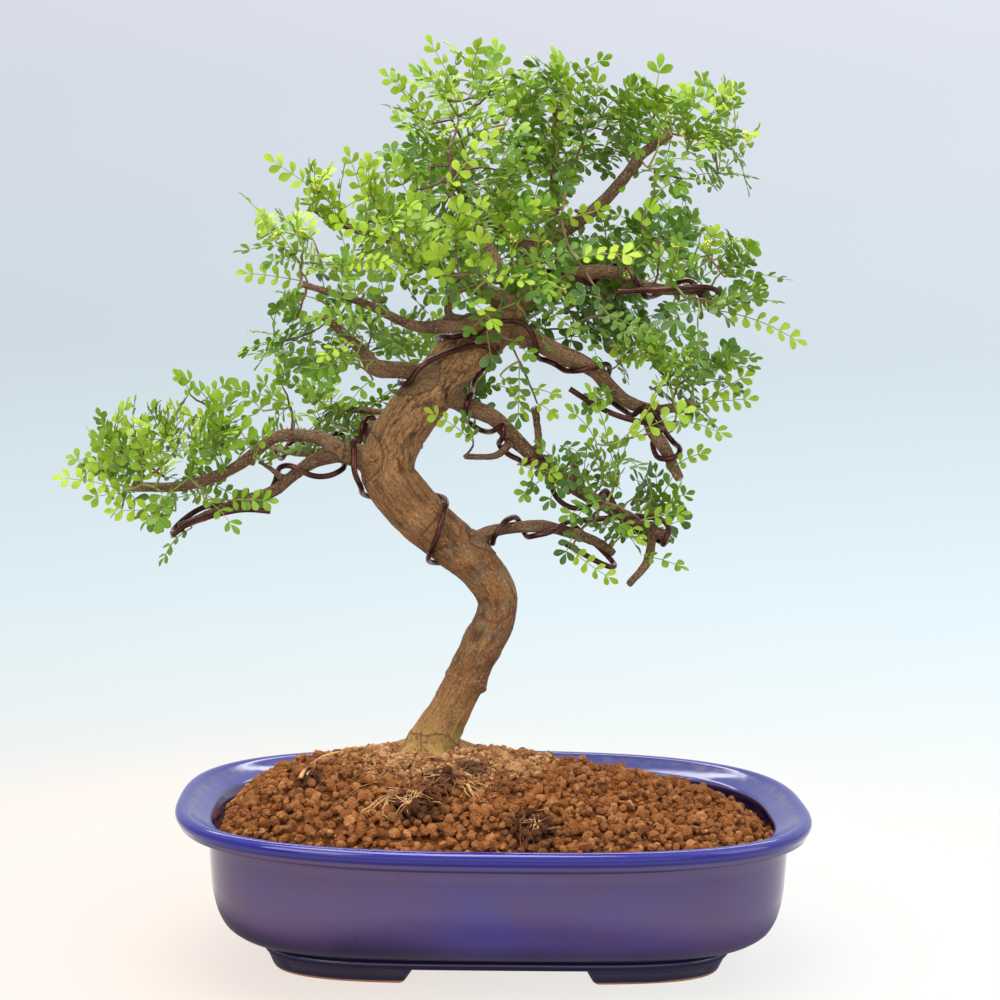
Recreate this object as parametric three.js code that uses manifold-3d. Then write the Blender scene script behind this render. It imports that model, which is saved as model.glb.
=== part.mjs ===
// Japanese pepper bonsai in an oval glazed pot.
// Millimetres, +Z up, front of the tree towards -Y. Everything is laid out from the
// centre of the pot on the ground, and the whole tree is shifted at the end so that
// the origin is under the middle of its bounding box.
import * as THREE from 'three';
import { mergeVertices } from 'three/addons/utils/BufferGeometryUtils.js';
import Module from 'manifold-3d';

const wasm = await Module();
wasm.setup();

// Driving dimensions of the pot
const RIM_LENGTH = 310;
const RIM_DEPTH = 220;
const RIM_SQUARENESS = 2.8;
const POT_HEIGHT = 78;
const FOOT_HEIGHT = 9;
const POT_FLOOR = 17;
const DRAIN_DIAMETER = 26;
const DRAIN_SPACING = 140;
const FOOT_WALL = 16;
const FOOT_RING_BOTTOM = [107, 55];
const FOOT_RING_TOP = [109, 63];
const LONG_GAP_HALF = [51, 45];
const END_GAP_HALF = [22, 18];

// Driving dimensions of the soil
const SOIL_EDGE = 68;
const SOIL_INSET = 24;
const MOUND_HEIGHT = 31;
const MOUND_CENTRE = [-30, 5];
const MOUND_REACH = [100, 55];
const ROOT_BALL_HALF = [62, 46, 44];
const ROOT_BALL_CENTRE = [-24, 4, 70];

const ROOT_BALL_SHOWS = 1.2;

// Driving dimensions of the wiring, and the gaps between neighbours
const WIRE_DIAMETER = 2.8;
const SEAT_GAP = 0.3;
const SOCKET_GAP = 0.8;
const WIRE_GAP = 0.8;
const LEAF_GAP = 0.5;
const LEAVES_OFF_WIRE = 2.4;

// Solids and meshes

function toSolid(geometry) {
  const bare = geometry.clone();
  bare.deleteAttribute('normal');
  bare.deleteAttribute('uv');
  const merged = mergeVertices(bare, 1e-4);
  const mesh = new wasm.Mesh({
    numProp: 3,
    vertProperties: new Float32Array(merged.attributes.position.array),
    triVerts: new Uint32Array(merged.index.array),
  });
  return new wasm.Manifold(mesh);
}

function toGeometry(solid) {
  const mesh = solid.getMesh();
  const geometry = new THREE.BufferGeometry();
  geometry.setAttribute('position', new THREE.BufferAttribute(mesh.vertProperties, 3));
  geometry.setIndex(new THREE.BufferAttribute(mesh.triVerts, 1));
  geometry.computeVertexNormals();
  return geometry;
}

function largestBody(solid) {
  const bodies = solid.decompose();
  bodies.sort((a, b) => b.volume() - a.volume());
  return bodies[0];
}

// A closed skin over a stack of rings that all hold the same number of points.
// A looped stack is a ring-shaped body, and any other stack gets two end caps.
function skin(rings, looped = false) {
  const count = rings[0].length;
  const positions = rings.flat().flatMap((p) => [p.x, p.y, p.z]);
  const index = [];
  const spans = looped ? rings.length : rings.length - 1;
  for (let k = 0; k < spans; k += 1) {
    const next = (k + 1) % rings.length;
    for (let j = 0; j < count; j += 1) {
      const a = k * count + j;
      const b = k * count + ((j + 1) % count);
      const c = next * count + ((j + 1) % count);
      const d = next * count + j;
      index.push(a, b, c, a, c, d);
    }
  }
  if (!looped) {
    for (const end of [0, rings.length - 1]) {
      const middle = new THREE.Vector3();
      rings[end].forEach((p) => middle.addScaledVector(p, 1 / count));
      positions.push(middle.x, middle.y, middle.z);
      const tip = positions.length / 3 - 1;
      for (let j = 0; j < count; j += 1) {
        const a = end * count + j;
        const b = end * count + ((j + 1) % count);
        if (end === 0) index.push(tip, b, a);
        else index.push(tip, a, b);
      }
    }
  }
  const geometry = new THREE.BufferGeometry();
  geometry.setAttribute('position', new THREE.Float32BufferAttribute(positions, 3));
  geometry.setIndex(index);
  return geometry;
}

// The pot's plan is a rounded oval, drawn by its half length and half depth.
function oval(halfLength, halfDepth, height, count, power = RIM_SQUARENESS) {
  const points = [];
  for (let j = 0; j < count; j += 1) {
    const angle = (j / count) * Math.PI * 2;
    const c = Math.cos(angle);
    const s = Math.sin(angle);
    const x = halfLength * Math.sign(c) * Math.abs(c) ** (2 / power);
    const y = halfDepth * Math.sign(s) * Math.abs(s) ** (2 / power);
    points.push(new THREE.Vector3(x, y, height));
  }
  return points;
}

const rimInset = (inset, height, count) => oval(
  RIM_LENGTH / 2 - inset,
  RIM_DEPTH / 2 - inset,
  height,
  count,
);

// Pot: one fired piece with a rolled rim, a sloping inner lip, four corner feet and
// two drain holes. Each entry is how far in from the rim, and the height.
const POT_SEGMENTS = 36;
const DRAIN_SEGMENTS = 20;
const POT_OUTSIDE = [
  [45.5, FOOT_HEIGHT],
  [44.5, 12.6],
  [34, 13.2],
  [27, 16.5],
  [21.5, 22],
  [17, 32],
  [14.5, 46],
  [13.5, 62],
  [12, 66.5],
  [2.5, 69.2],
  [1.3, 72.4],
  [0, 75],
  [1, 77.2],
  [2.8, POT_HEIGHT],
];
const POT_INSIDE = [
  [5.5, 77],
  [14, 73.6],
  [23, 70],
  [24.6, 68],
  [25, 50],
  [26, 34],
  [30, 23],
  [38, POT_FLOOR],
];

function makePot() {
  const outline = [...POT_OUTSIDE, ...POT_INSIDE];
  const rings = outline.map(([inset, height]) => rimInset(inset, height, POT_SEGMENTS));
  let pot = toSolid(skin(rings));
  pot = pot.add(makeFeet());
  for (const side of [-1, 1]) {
    const radius = DRAIN_DIAMETER / 2;
    const hole = new THREE.CylinderGeometry(radius, radius, POT_FLOOR * 2, DRAIN_SEGMENTS);
    hole.rotateX(Math.PI / 2);
    hole.translate(side * DRAIN_SPACING / 2, 0, POT_FLOOR);
    pot = pot.subtract(toSolid(hole));
  }
  return pot;
}

// The feet are a low ring under the pot, cut away on its four sides.
function makeFeet() {
  const top = FOOT_HEIGHT + 1;
  const inner = ([halfLength, halfDepth]) => [halfLength - FOOT_WALL, halfDepth - FOOT_WALL];
  const ring = [
    oval(...FOOT_RING_BOTTOM, 0, POT_SEGMENTS),
    oval(...FOOT_RING_TOP, top, POT_SEGMENTS),
    oval(...inner(FOOT_RING_TOP), top, POT_SEGMENTS),
    oval(...inner(FOOT_RING_BOTTOM), 0, POT_SEGMENTS),
  ];
  const frontToBack = footGap(LONG_GAP_HALF, RIM_DEPTH);
  const endToEnd = footGap(END_GAP_HALF, RIM_LENGTH);
  endToEnd.rotateZ(Math.PI / 2);
  return toSolid(skin(ring, true)).subtract(toSolid(frontToBack)).subtract(toSolid(endToEnd));
}

// A gap between feet is wider on the ground than at the top, and runs right through.
function footGap([onGround, atTop], length) {
  const outline = new THREE.Shape();
  outline.moveTo(-onGround, -1);
  outline.lineTo(onGround, -1);
  outline.lineTo(atTop, FOOT_HEIGHT);
  outline.lineTo(-atTop, FOOT_HEIGHT);
  outline.closePath();
  const gap = new THREE.ExtrudeGeometry(outline, { depth: length, bevelEnabled: false });
  gap.rotateX(Math.PI / 2);
  gap.translate(0, length / 2, 0);
  return gap;
}

// Soil: its top is a broad mound that falls to the inner edge of the lip.
// The wall share is 0 at the middle of the pot and 1 at the edge of the soil.
function wallShare(x, y) {
  const halfLength = RIM_LENGTH / 2 - SOIL_INSET;
  const halfDepth = RIM_DEPTH / 2 - SOIL_INSET;
  const sum = Math.abs(x / halfLength) ** RIM_SQUARENESS + Math.abs(y / halfDepth) ** RIM_SQUARENESS;
  return sum ** (1 / RIM_SQUARENESS);
}

function soilTop(x, y) {
  const across = (x - MOUND_CENTRE[0]) / MOUND_REACH[0];
  const deep = (y - MOUND_CENTRE[1]) / MOUND_REACH[1];
  const swell = Math.exp(-(across ** 2 + deep ** 2) / 2);
  const wall = Math.max(0, 1 - wallShare(x, y) ** 10);
  return SOIL_EDGE + MOUND_HEIGHT * swell * wall;
}

// The soil follows the inside of the pot, and its top is drawn as rings that shrink
// towards the middle by these shares.
const SOIL_SHARES = [0.93, 0.84, 0.72, 0.56, 0.4, 0.22];

function makeSoilFill(rise) {
  const side = [
    [34.6, POT_FLOOR + 3.2],
    [30.6, 23],
    [26.4, 34],
    [25.4, 50],
    [25.2, SOIL_EDGE - 1],
  ];
  const rings = side.map(([inset, height]) => rimInset(inset, height, POT_SEGMENTS));
  const edge = rings[rings.length - 1];
  for (const share of SOIL_SHARES) {
    rings.push(edge.map((p) => {
      const x = p.x * share;
      const y = p.y * share;
      return new THREE.Vector3(x, y, soilTop(x, y) + rise);
    }));
  }
  return toSolid(skin(rings));
}

function makeBall(grow) {
  const ball = new THREE.IcosahedronGeometry(1, 2);
  ball.scale(ROOT_BALL_HALF[0] + grow, ROOT_BALL_HALF[1] + grow, ROOT_BALL_HALF[2] + grow);
  ball.translate(...ROOT_BALL_CENTRE);
  return toSolid(ball);
}

// Wood: the trunk and its branches grew as one piece. Each limb is a list of
// points along its pith with the radius there: x, y, z, radius.
const TRUNK = [
  [-35, 9, 80, 12], [-33.5, 9, 91, 15.6], [-30.5, 8, 102, 13.4], [-26, 7, 112.5, 11],
  [-19.5, 6, 125, 10], [-13.5, 5, 139, 10], [-7, 4, 153, 10.4], [-1, 3, 166, 10],
  [-0.5, 2, 178, 10], [-8, 0, 190.5, 10.8], [-21.5, -2, 203, 11.7], [-36.5, -4, 215, 12.4],
  [-47.5, -5, 227, 13.1], [-55, -5, 239, 13.1], [-52.5, -3, 251, 12.7], [-44, 0, 266, 12.7],
  [-33, 3, 280.5, 12.2], [-20.5, 6, 295.5, 11.5], [-7.5, 8, 306, 10.8], [2.5, 10, 317, 8.4],
  [8.5, 12, 330, 6.7], [12.5, 12, 343, 5.7], [15.5, 11, 352.5, 4.7],
];
const LIMBS = {
  leftArm: [[-58.5, -5, 243.5, 9], [-70.5, -8, 246.5, 5.8], [-79, -10, 248.5, 5.2]],
  leftUpperLimb: [
    [-77, -10, 248, 4.8], [-86.5, -12, 254.5, 3.6], [-97, -14, 256, 3.1],
    [-108.5, -16, 255, 3.1], [-124.5, -20, 242.5, 2.9], [-138.5, -24, 235.5, 2.9],
    [-154.5, -27, 231.5, 2.6], [-175, -31, 231.5, 2.4],
  ],
  leftLowerLimb: [
    [-77, -10, 248, 4.4], [-90.5, -10, 243.5, 3.6], [-98.5, -10, 238, 3.1],
    [-110, -9, 228.5, 2.9], [-125.5, -8, 223.5, 2.7], [-140.5, -6, 216.5, 2.4],
    [-156, -4, 210, 2.2],
  ],
  deadTwig: [[-105, -9, 234.5, 2], [-111, -14, 240, 1.4], [-116.5, -17, 243.5, 1.1]],
  backLeftTwig: [[-46, 2, 269, 4], [-56, 20, 266.5, 2], [-70, 32, 266.5, 1.8], [-82, 42, 266.5, 1.5]],
  backLeftLimb: [
    [-50, 2, 258, 6], [-62, 18, 258.5, 4], [-71, 28, 253.5, 3.5], [-78, 36, 248, 3],
    [-89.5, 48, 244, 2.6], [-106.5, 62, 243, 2.1], [-122, 74, 246, 1.8],
  ],
  leftUpperBranch: [
    [-36, 0, 285, 5], [-47, -6, 288, 4.4], [-61.5, -14, 289.5, 4.3], [-67, -18, 296.5, 3.1],
    [-78, -28, 307, 2.2], [-86, -32, 313.5, 1.8],
  ],
  leftStubBranch: [
    [1, 4, 311, 6.9], [-11.5, -6, 312, 5.3], [-23.5, -14, 310.5, 4.1], [-42, -25, 309.5, 2.8],
    [-67.5, -38, 320, 2], [-95.5, -48, 328, 1.7],
  ],
  crownLeftLimb: [
    [5, 10, 319, 5.4], [-8.5, 2, 326.5, 3.9], [-32.5, -10, 335.5, 2.9],
    [-53, -20, 348.5, 2.4], [-81, -32, 357.5, 1.9], [-93, -38, 364.5, 1.7],
  ],
  crownFrontTwig: [
    [-12, -6, 312, 3], [-26.5, -18, 315, 2.2], [-25.5, -28, 324.5, 1.9],
    [-17.5, -36, 328.5, 1.7], [-8, -42, 331, 1.4],
  ],
  crownTopLeft: [
    [13.5, 12, 346.5, 4.4], [-3.5, -4, 357.5, 3.4], [-17.5, -16, 367.5, 2.2],
    [-25, -24, 378.5, 1.9], [-28.5, -30, 392, 1.7],
  ],
  crownLeader: [
    [14.5, 12, 349.5, 4.2], [22.5, 16, 359.5, 3], [25, 20, 370, 2.7], [24.5, 22, 381.5, 2.5],
    [24.5, 20, 412.5, 2], [22.5, 18, 423.5, 1.7],
  ],
  crownRightLimb: [
    [14, 12, 348.5, 4.6], [28, 10, 356.5, 3.7], [46.5, 6, 370.5, 3.2], [59, 4, 385.5, 2.9],
    [64.5, 2, 393.5, 2.6], [79, -2, 404.5, 2.2],
  ],
  crownBackLimb: [
    [5, 12, 322, 4.6], [1.5, 30, 333, 3.5], [-4.5, 48, 346, 3.1], [-11.5, 64, 360, 2.6],
    [-20, 78, 372, 2.1], [-31.5, 88, 382.5, 1.7],
  ],
  backRightLimb: [
    [4, 12, 317, 5], [22, 34, 325.5, 3.8], [40.5, 52, 334, 3.3], [59.5, 66, 344, 2.9],
    [78.5, 76, 353.5, 2.4], [100, 82, 364.5, 1.8],
  ],
  backLowLimb: [
    [-17, 8, 299, 5.4], [-19, 34, 296.5, 4], [-26, 54, 291, 3.3], [-34, 70, 287.5, 2.6],
    [-45.5, 82, 288, 1.9],
  ],
  midRightBranch: [
    [6, 11, 323, 5.4], [20.5, 10, 329.5, 4.7], [32.5, 8, 335.5, 4.2], [55.5, 2, 337, 3.2],
    [66, -1, 331.5, 2.9], [80, -5, 329.5, 2.7], [98, -10, 330, 2.2],
  ],
  rightBranch: [
    [-2, 8, 308, 6.4], [15, 7, 304, 4.9], [25.5, 5, 298.5, 4.7], [45.5, 1, 289.5, 4.2],
    [52, -2, 282, 3.9], [60, -5, 275.5, 3.4], [73.5, -8, 271.5, 2.9], [91, -18, 275.5, 1.9],
  ],
  rightBranchDrop: [
    [70, -8, 271.5, 2.9], [72.5, -10, 262.5, 3.4], [78.5, -12, 253.5, 3.2], [86.5, -15, 238, 2.4],
  ],
  rightLowerBranch: [
    [-29, 4, 278, 6.2], [-16, 8, 270.5, 4.7], [-3, 7, 265, 4.2], [5, 6, 257, 4.2],
    [13.5, 5, 249, 3.9], [33.5, 2, 234, 3.7], [49, -2, 225, 3.2], [66.5, -6, 216, 2.9],
    [82.5, -10, 210, 2.7],
  ],
  rightLowerTip: [
    [74.5, -8, 213, 2.6], [74, -8, 204, 2.4], [72, -7, 196, 2.2], [63.5, -5, 185, 2],
  ],
  rightLowerSideTwig: [[6, 5, 255, 2.5], [-2, -2, 247.5, 1.9], [-18, -8, 247, 1.6]],
  rightLowerFirstStub: [[18.5, 4, 245, 2.2], [18.5, 2, 255, 2], [16, 0, 271.5, 2]],
  rightLowerSecondStub: [[40.5, 0, 229, 3], [37.5, -3, 237, 2.4], [34.5, -5, 249.5, 2.2]],
  lowestBranch: [
    [-18, -1, 203, 5.6], [-8.5, 2, 207, 3.9], [-2, 4, 210, 3.2], [21.5, 7, 212, 3.2],
    [34.5, 8, 209.5, 3], [51, 10, 203.5, 2.5], [58, 11, 198.5, 2],
  ],
};
const TRUNK_SIDES = 12;
const TRUNK_STEP = 9;
const LIMB_SIDES = 5;
const LIMB_STEP = 12;

// A tapering limb swept along its pith, rounder than its own facets by grow.
function limb(points, sides, step, grow = 0) {
  const pith = new THREE.CatmullRomCurve3(points.map(([x, y, z]) => new THREE.Vector3(x, y, z)));
  const count = Math.max(3, Math.round(pith.getLength() / step));
  const frames = pith.computeFrenetFrames(count, false);
  const rings = [];
  for (let k = 0; k <= count; k += 1) {
    const along = pith.getUtoTmapping(k / count) * (points.length - 1);
    const before = Math.min(points.length - 2, Math.floor(along));
    const radius = THREE.MathUtils.lerp(points[before][3], points[before + 1][3], along - before);
    const centre = pith.getPointAt(k / count);
    if (k === 0) centre.addScaledVector(frames.tangents[k], -grow);
    if (k === count) centre.addScaledVector(frames.tangents[k], grow);
    const ring = [];
    for (let j = 0; j < sides; j += 1) {
      const angle = (j / sides) * Math.PI * 2;
      const point = centre.clone();
      point.addScaledVector(frames.normals[k], (radius + grow) * Math.cos(angle));
      point.addScaledVector(frames.binormals[k], (radius + grow) * Math.sin(angle));
      ring.push(point);
    }
    rings.push(ring);
  }
  return toSolid(skin(rings));
}

function makeWood(grow = 0) {
  let wood = limb(TRUNK, TRUNK_SIDES, TRUNK_STEP, grow);
  for (const points of Object.values(LIMBS)) {
    wood = wood.add(limb(points, LIMB_SIDES, LIMB_STEP, grow));
  }
  return wood;
}

// Training wires: soft aluminium wire laid in turns on the bark. Each route is a
// list of points from end to end, and a point that would be in the wood is moved
// out until the wire lies on the bark.
const WIRES = {
  wire_low_limbs: [
    [-111, -11, 219], [-123, -13, 220], [-137, -12, 217], [-149, -9, 213], [-157, -4, 209],
    [-154, 1, 213], [-143, -1, 220], [-132, -3, 221], [-120, -4, 221], [-113, -3, 226],
    [-109, -4, 233], [-107, -10, 240], [-101, -15, 242], [-92, -16, 237], [-82, -15, 237],
    [-75, -8, 242], [-73, -5, 250], [-71, -14, 247], [-71, -17, 240], [-68, -14, 233],
    [-64, -2, 228], [-56, 8, 225], [-43, 10, 227], [-33, 6, 227], [-27, -6, 224],
    [-28, -17, 218], [-30, -18, 210], [-33, -13, 202], [-33, -3, 196], [-26, 8, 193],
    [-16, 12, 196], [-8, 8, 201], [-4, -1, 206], [0, -4, 211], [2, -1, 215],
    [7, 5, 216], [12, 10, 212], [15, 5, 208], [22, 0, 209], [28, 2, 211],
    [34, 7, 214], [39, 13, 211], [45, 15, 206], [51, 14, 201], [57, 14, 195],
    [59, 9, 192], [54, 5, 193], [46, 4, 197], [33, 4, 204],
  ],
  wire_back_limb: [
    [-38, 18, 250], [-46, 18, 251], [-54, 21, 253], [-60, 24, 256], [-64, 21, 262],
    [-67, 16, 259], [-69, 17, 252], [-72, 24, 247], [-74, 34, 245], [-75, 41, 248],
    [-79, 43, 254], [-85, 40, 254], [-87, 38, 247], [-88, 43, 240], [-93, 54, 238],
    [-97, 61, 243], [-102, 62, 249], [-107, 57, 248], [-109, 57, 241], [-112, 66, 239],
    [-115, 74, 243], [-120, 77, 249],
  ],
  wire_cross: [
    [-48, 6, 280], [-45, -8, 285], [-41, -12, 289], [-36, -13, 293], [-27, -11, 297],
    [-18, -9, 300], [-9, -3, 301], [-5, 8, 297], [-8, 18, 290], [-14, 18, 282],
    [-14, 11, 278], [-18, 2, 273], [-18, 4, 268], [-15, 12, 262], [-8, 10, 258],
    [-2, 2, 260], [2, -1, 264], [1, -4, 259], [1, 1, 253], [4, 8, 247],
    [11, 8, 245], [17, 2, 247], [23, -2, 247], [26, -4, 242], [25, -1, 235],
    [27, 3, 228], [34, 5, 222], [42, 2, 222], [49, 4, 227], [52, 0, 232],
    [54, -8, 227], [58, -9, 221], [64, -5, 214], [72, -3, 210], [79, -6, 207],
    [83, -12, 212], [80, -14, 218], [72, -15, 220], [53, -15, 219], [34, -15, 217],
  ],
  wire_right: [
    [-30, 16, 297], [-27, 10, 298], [-24, -1, 302], [-19, -6, 307], [-12, -8, 310],
    [-4, -8, 312], [4, -6, 313], [11, -3, 311], [15, -2, 305], [18, 5, 298],
    [24, 10, 293], [30, 5, 291], [36, -3, 289], [43, -5, 291], [49, 0, 290],
    [51, 6, 283], [52, 5, 277], [57, 0, 272], [64, -6, 270], [69, -14, 274],
    [73, -15, 271], [77, -13, 264], [75, -7, 260], [73, -7, 255], [76, -12, 250],
    [80, -19, 248], [85, -20, 250], [86, -14, 254], [84, -7, 255], [80, -6, 260],
    [73, -17, 265], [65, -17, 266], [54, -15, 269], [45, -14, 273], [32, -14, 281],
  ],
  wire_mid_right: [
    [-2, 16, 318], [5, 20, 321], [13, 18, 327], [21, 14, 333], [25, 4, 336],
    [30, -1, 337], [37, -1, 333], [42, 6, 332], [48, 11, 337], [54, 7, 341],
    [59, -1, 340], [63, -7, 334], [67, -6, 328], [72, 2, 326], [79, 6, 329],
    [84, 0, 333], [89, -8, 334], [94, -12, 328], [99, -6, 324], [104, -10, 328],
    [97, -17, 331], [83, -17, 330], [69, -16, 329], [54, -15, 328],
  ],
};
const WIRE_STEP = 5;
const WIRE_SIDES = 5;
const ROUTE_STEP = 2.5;
const ROUTE_ROUNDS = 3;
const LIFT_ROUNDS = 8;
const ROOM_POINTS = 18;
const PITH_STEP = 3;

// Each limb as short straight stretches, for finding where the bark is.
function woodStretches() {
  const stretches = [];
  for (const points of [TRUNK, ...Object.values(LIMBS)]) {
    const pith = new THREE.CatmullRomCurve3(points.map(([x, y, z]) => new THREE.Vector3(x, y, z)));
    const count = Math.round(pith.getLength() / PITH_STEP);
    let last = null;
    for (let k = 0; k <= count; k += 1) {
      const along = pith.getUtoTmapping(k / count) * (points.length - 1);
      const before = Math.min(points.length - 2, Math.floor(along));
      const radius = THREE.MathUtils.lerp(points[before][3], points[before + 1][3], along - before);
      const here = { centre: pith.getPointAt(k / count), radius };
      if (last) stretches.push([last, here]);
      last = here;
    }
  }
  return stretches;
}

function liftOutOfWood(point, clearance, stretches) {
  for (let round = 0; round < LIFT_ROUNDS; round += 1) {
    for (const [from, to] of stretches) {
      const line = new THREE.Line3(from.centre, to.centre);
      const share = line.closestPointToPointParameter(point, true);
      const near = line.at(share, new THREE.Vector3());
      const needed = THREE.MathUtils.lerp(from.radius, to.radius, share) + clearance;
      const away = point.clone().sub(near);
      if (away.length() < needed) point.copy(near).addScaledVector(away.normalize(), needed);
    }
  }
}

// The route is lifted off the bark and eased by turns, and is lifted last.
function wireRoute(points, stretches) {
  const rough = new THREE.CatmullRomCurve3(points.map((p) => new THREE.Vector3(...p)));
  const steps = Math.round(rough.getLength() / ROUTE_STEP);
  const route = rough.getSpacedPoints(steps);
  for (let round = 1; round <= ROUTE_ROUNDS; round += 1) {
    route.forEach((p) => liftOutOfWood(p, WIRE_DIAMETER / 2 + WIRE_GAP, stretches));
    if (round < ROUTE_ROUNDS) {
      const before = route.map((p) => p.clone());
      for (let k = 1; k < route.length - 1; k += 1) {
        route[k].addVectors(before[k - 1], before[k + 1]).addScaledVector(before[k], 2).divideScalar(4);
      }
    }
  }
  return new THREE.CatmullRomCurve3(route);
}

function wireTube(route, radius, sides, step) {
  const section = new THREE.Shape();
  for (let j = 0; j < sides; j += 1) {
    const angle = (j / sides) * Math.PI * 2;
    if (j === 0) section.moveTo(radius, 0);
    else section.lineTo(radius * Math.cos(angle), radius * Math.sin(angle));
  }
  section.closePath();
  const steps = Math.max(1, Math.round(route.getLength() / step));
  return toSolid(new THREE.ExtrudeGeometry(section, { steps, extrudePath: route }));
}

// The room that leaves keep round a wire: square tubes over short lengths of it that
// overlap, because one long tube would run through itself in the turns, and a point
// at each end.
function wireRoom(route) {
  const radius = WIRE_DIAMETER / 2 + LEAVES_OFF_WIRE;
  let room = null;
  for (let first = 0; first < route.points.length - 1; first += ROOM_POINTS) {
    const stretch = new THREE.CatmullRomCurve3(route.points.slice(first, first + ROOM_POINTS + 2));
    const tube = wireTube(stretch, radius, 4, WIRE_STEP);
    room = room ? room.add(tube) : tube;
  }
  for (const end of [0, 1]) {
    const point = new THREE.OctahedronGeometry(radius + SEAT_GAP);
    point.translate(...route.getPoint(end).toArray());
    room = room.add(toSolid(point));
  }
  return room;
}

// Foliage: each pad of leaves as one lumpy solid of the pad's size: centre, half
// sizes, and the seed of its lumps.
const PADS = {
  foliage_left_low: { centre: [-150, -24, 242], half: [60, 38, 33], seed: 1.3 },
  foliage_left_back: { centre: [-92, 50, 262], half: [46, 40, 27], seed: 2.1 },
  foliage_left_upper: { centre: [-80, -26, 303], half: [44, 40, 25], seed: 3.7 },
  foliage_left_crown: { centre: [-70, -30, 346], half: [58, 48, 40], seed: 4.4 },
  foliage_top_left: { centre: [-22, -14, 402], half: [42, 46, 45], seed: 5.2 },
  foliage_top: { centre: [32, 18, 408], half: [44, 50, 38], seed: 6.9 },
  foliage_top_right: { centre: [86, 0, 398], half: [38, 46, 38], seed: 7.5 },
  foliage_front: { centre: [-8, -44, 344], half: [40, 32, 28], seed: 8.2 },
  foliage_back_upper: { centre: [-12, 78, 372], half: [56, 38, 42], seed: 9.6 },
  foliage_mid_right: { centre: [84, -12, 334], half: [54, 40, 27], seed: 10.1 },
  foliage_back_right: { centre: [72, 68, 342], half: [52, 38, 36], seed: 11.8 },
  foliage_right: { centre: [76, -10, 287], half: [50, 38, 25], seed: 12.3 },
  foliage_right_lower: { centre: [54, -2, 226], half: [42, 32, 29], seed: 13.7 },
  foliage_back_low: { centre: [-34, 78, 292], half: [50, 34, 28], seed: 14.9 },
  foliage_core: { centre: [40, 30, 318], half: [38, 32, 26], seed: 15.4 },
};

function padLump({ centre, half, seed }, grow = 0) {
  const ball = new THREE.IcosahedronGeometry(1, 1);
  ball.deleteAttribute('uv');
  ball.deleteAttribute('normal');
  const lump = mergeVertices(ball, 1e-4);
  const place = lump.attributes.position;
  const point = new THREE.Vector3();
  for (let k = 0; k < place.count; k += 1) {
    point.fromBufferAttribute(place, k).normalize();
    const wave = Math.sin(5 * point.x + seed) * Math.sin(4 * point.y + 2 * seed);
    const bump = Math.sin(7 * point.z + 3 * seed) * Math.cos(6 * point.x - seed);
    const swell = 1 + 0.09 * wave + 0.06 * bump;
    point.set(
      point.x * (half[0] * swell + grow),
      point.y * (half[1] * swell + grow),
      point.z * (half[2] * swell + grow),
    );
    place.setXYZ(k, centre[0] + point.x, centre[1] + point.y, centre[2] + point.z);
  }
  return toSolid(lump);
}

// Drain screens lie on the pot floor, and a wire staple holds each in its hole.
const SCREEN_SIDE = 36;
const SCREEN_THICK = 1;
const SCREEN_BAR = 1.4;
const SCREEN_CELLS = 3;
const STAPLE_DIAMETER = 1.2;
const screenFloor = POT_FLOOR + SEAT_GAP;

function makeScreen(x) {
  const pitch = (SCREEN_SIDE - SCREEN_BAR) / SCREEN_CELLS;
  let screen = null;
  for (let k = 0; k <= SCREEN_CELLS; k += 1) {
    const offset = k * pitch - (SCREEN_SIDE - SCREEN_BAR) / 2;
    const along = new THREE.BoxGeometry(SCREEN_SIDE, SCREEN_BAR, SCREEN_THICK);
    along.translate(x, offset, screenFloor + SCREEN_THICK / 2);
    const across = new THREE.BoxGeometry(SCREEN_BAR, SCREEN_SIDE, SCREEN_THICK);
    across.translate(x + offset, 0, screenFloor + SCREEN_THICK / 2);
    const bars = toSolid(along).add(toSolid(across));
    screen = screen ? screen.add(bars) : bars;
  }
  return screen;
}

function makeStaple(x) {
  const reach = (SCREEN_SIDE - SCREEN_BAR) / SCREEN_CELLS;
  const over = screenFloor + SCREEN_THICK + SEAT_GAP + STAPLE_DIAMETER / 2;
  const under = FOOT_HEIGHT - SEAT_GAP - STAPLE_DIAMETER / 2;
  const side = [
    [DRAIN_DIAMETER / 2 + 4, under],
    [reach + 1.7, under],
    [reach + 0.2, under + 0.4],
    [reach, under + 2.4],
    [reach, over - 3],
    [reach - 0.6, over - 0.6],
    [reach - 3, over],
  ];
  const points = [
    ...side.map(([across, height]) => new THREE.Vector3(x + across, 0, height)),
    ...side.reverse().map(([across, height]) => new THREE.Vector3(x - across, 0, height)),
  ];
  const path = new THREE.CatmullRomCurve3(points, false, 'catmullrom', 0.3);
  return wireTube(path, STAPLE_DIAMETER / 2, 5, 2.4);
}

// Materials

const paint = (colour, roughness, metalness = 0) => new THREE.MeshStandardMaterial({
  color: colour,
  roughness,
  metalness,
});
const GLAZE = paint(0x1f2a8c, 0.12);
const AKADAMA = paint(0x8a4a2a, 0.95);
const OLD_SOIL = paint(0xa9744c, 0.95);
const BARK = paint(0x8f7452, 0.85);
const WIRE = paint(0x4a2420, 0.35, 0.8);
const LEAF = paint(0x6aa82a, 0.5);
const SCREEN = paint(0x1c1c1c, 0.6);
const STAPLE = paint(0x9a9a96, 0.4, 0.8);

// Assembly

const tree = new THREE.Group();

function place(name, solid, material) {
  const mesh = new THREE.Mesh(toGeometry(solid), material);
  mesh.name = name;
  tree.add(mesh);
}

place('pot', makePot(), GLAZE);
for (const [name, side] of [['left', -1], ['right', 1]]) {
  const x = side * DRAIN_SPACING / 2;
  place(`drain_screen_${name}`, makeScreen(x), SCREEN);
  place(`screen_staple_${name}`, makeStaple(x), STAPLE);
}

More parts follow.
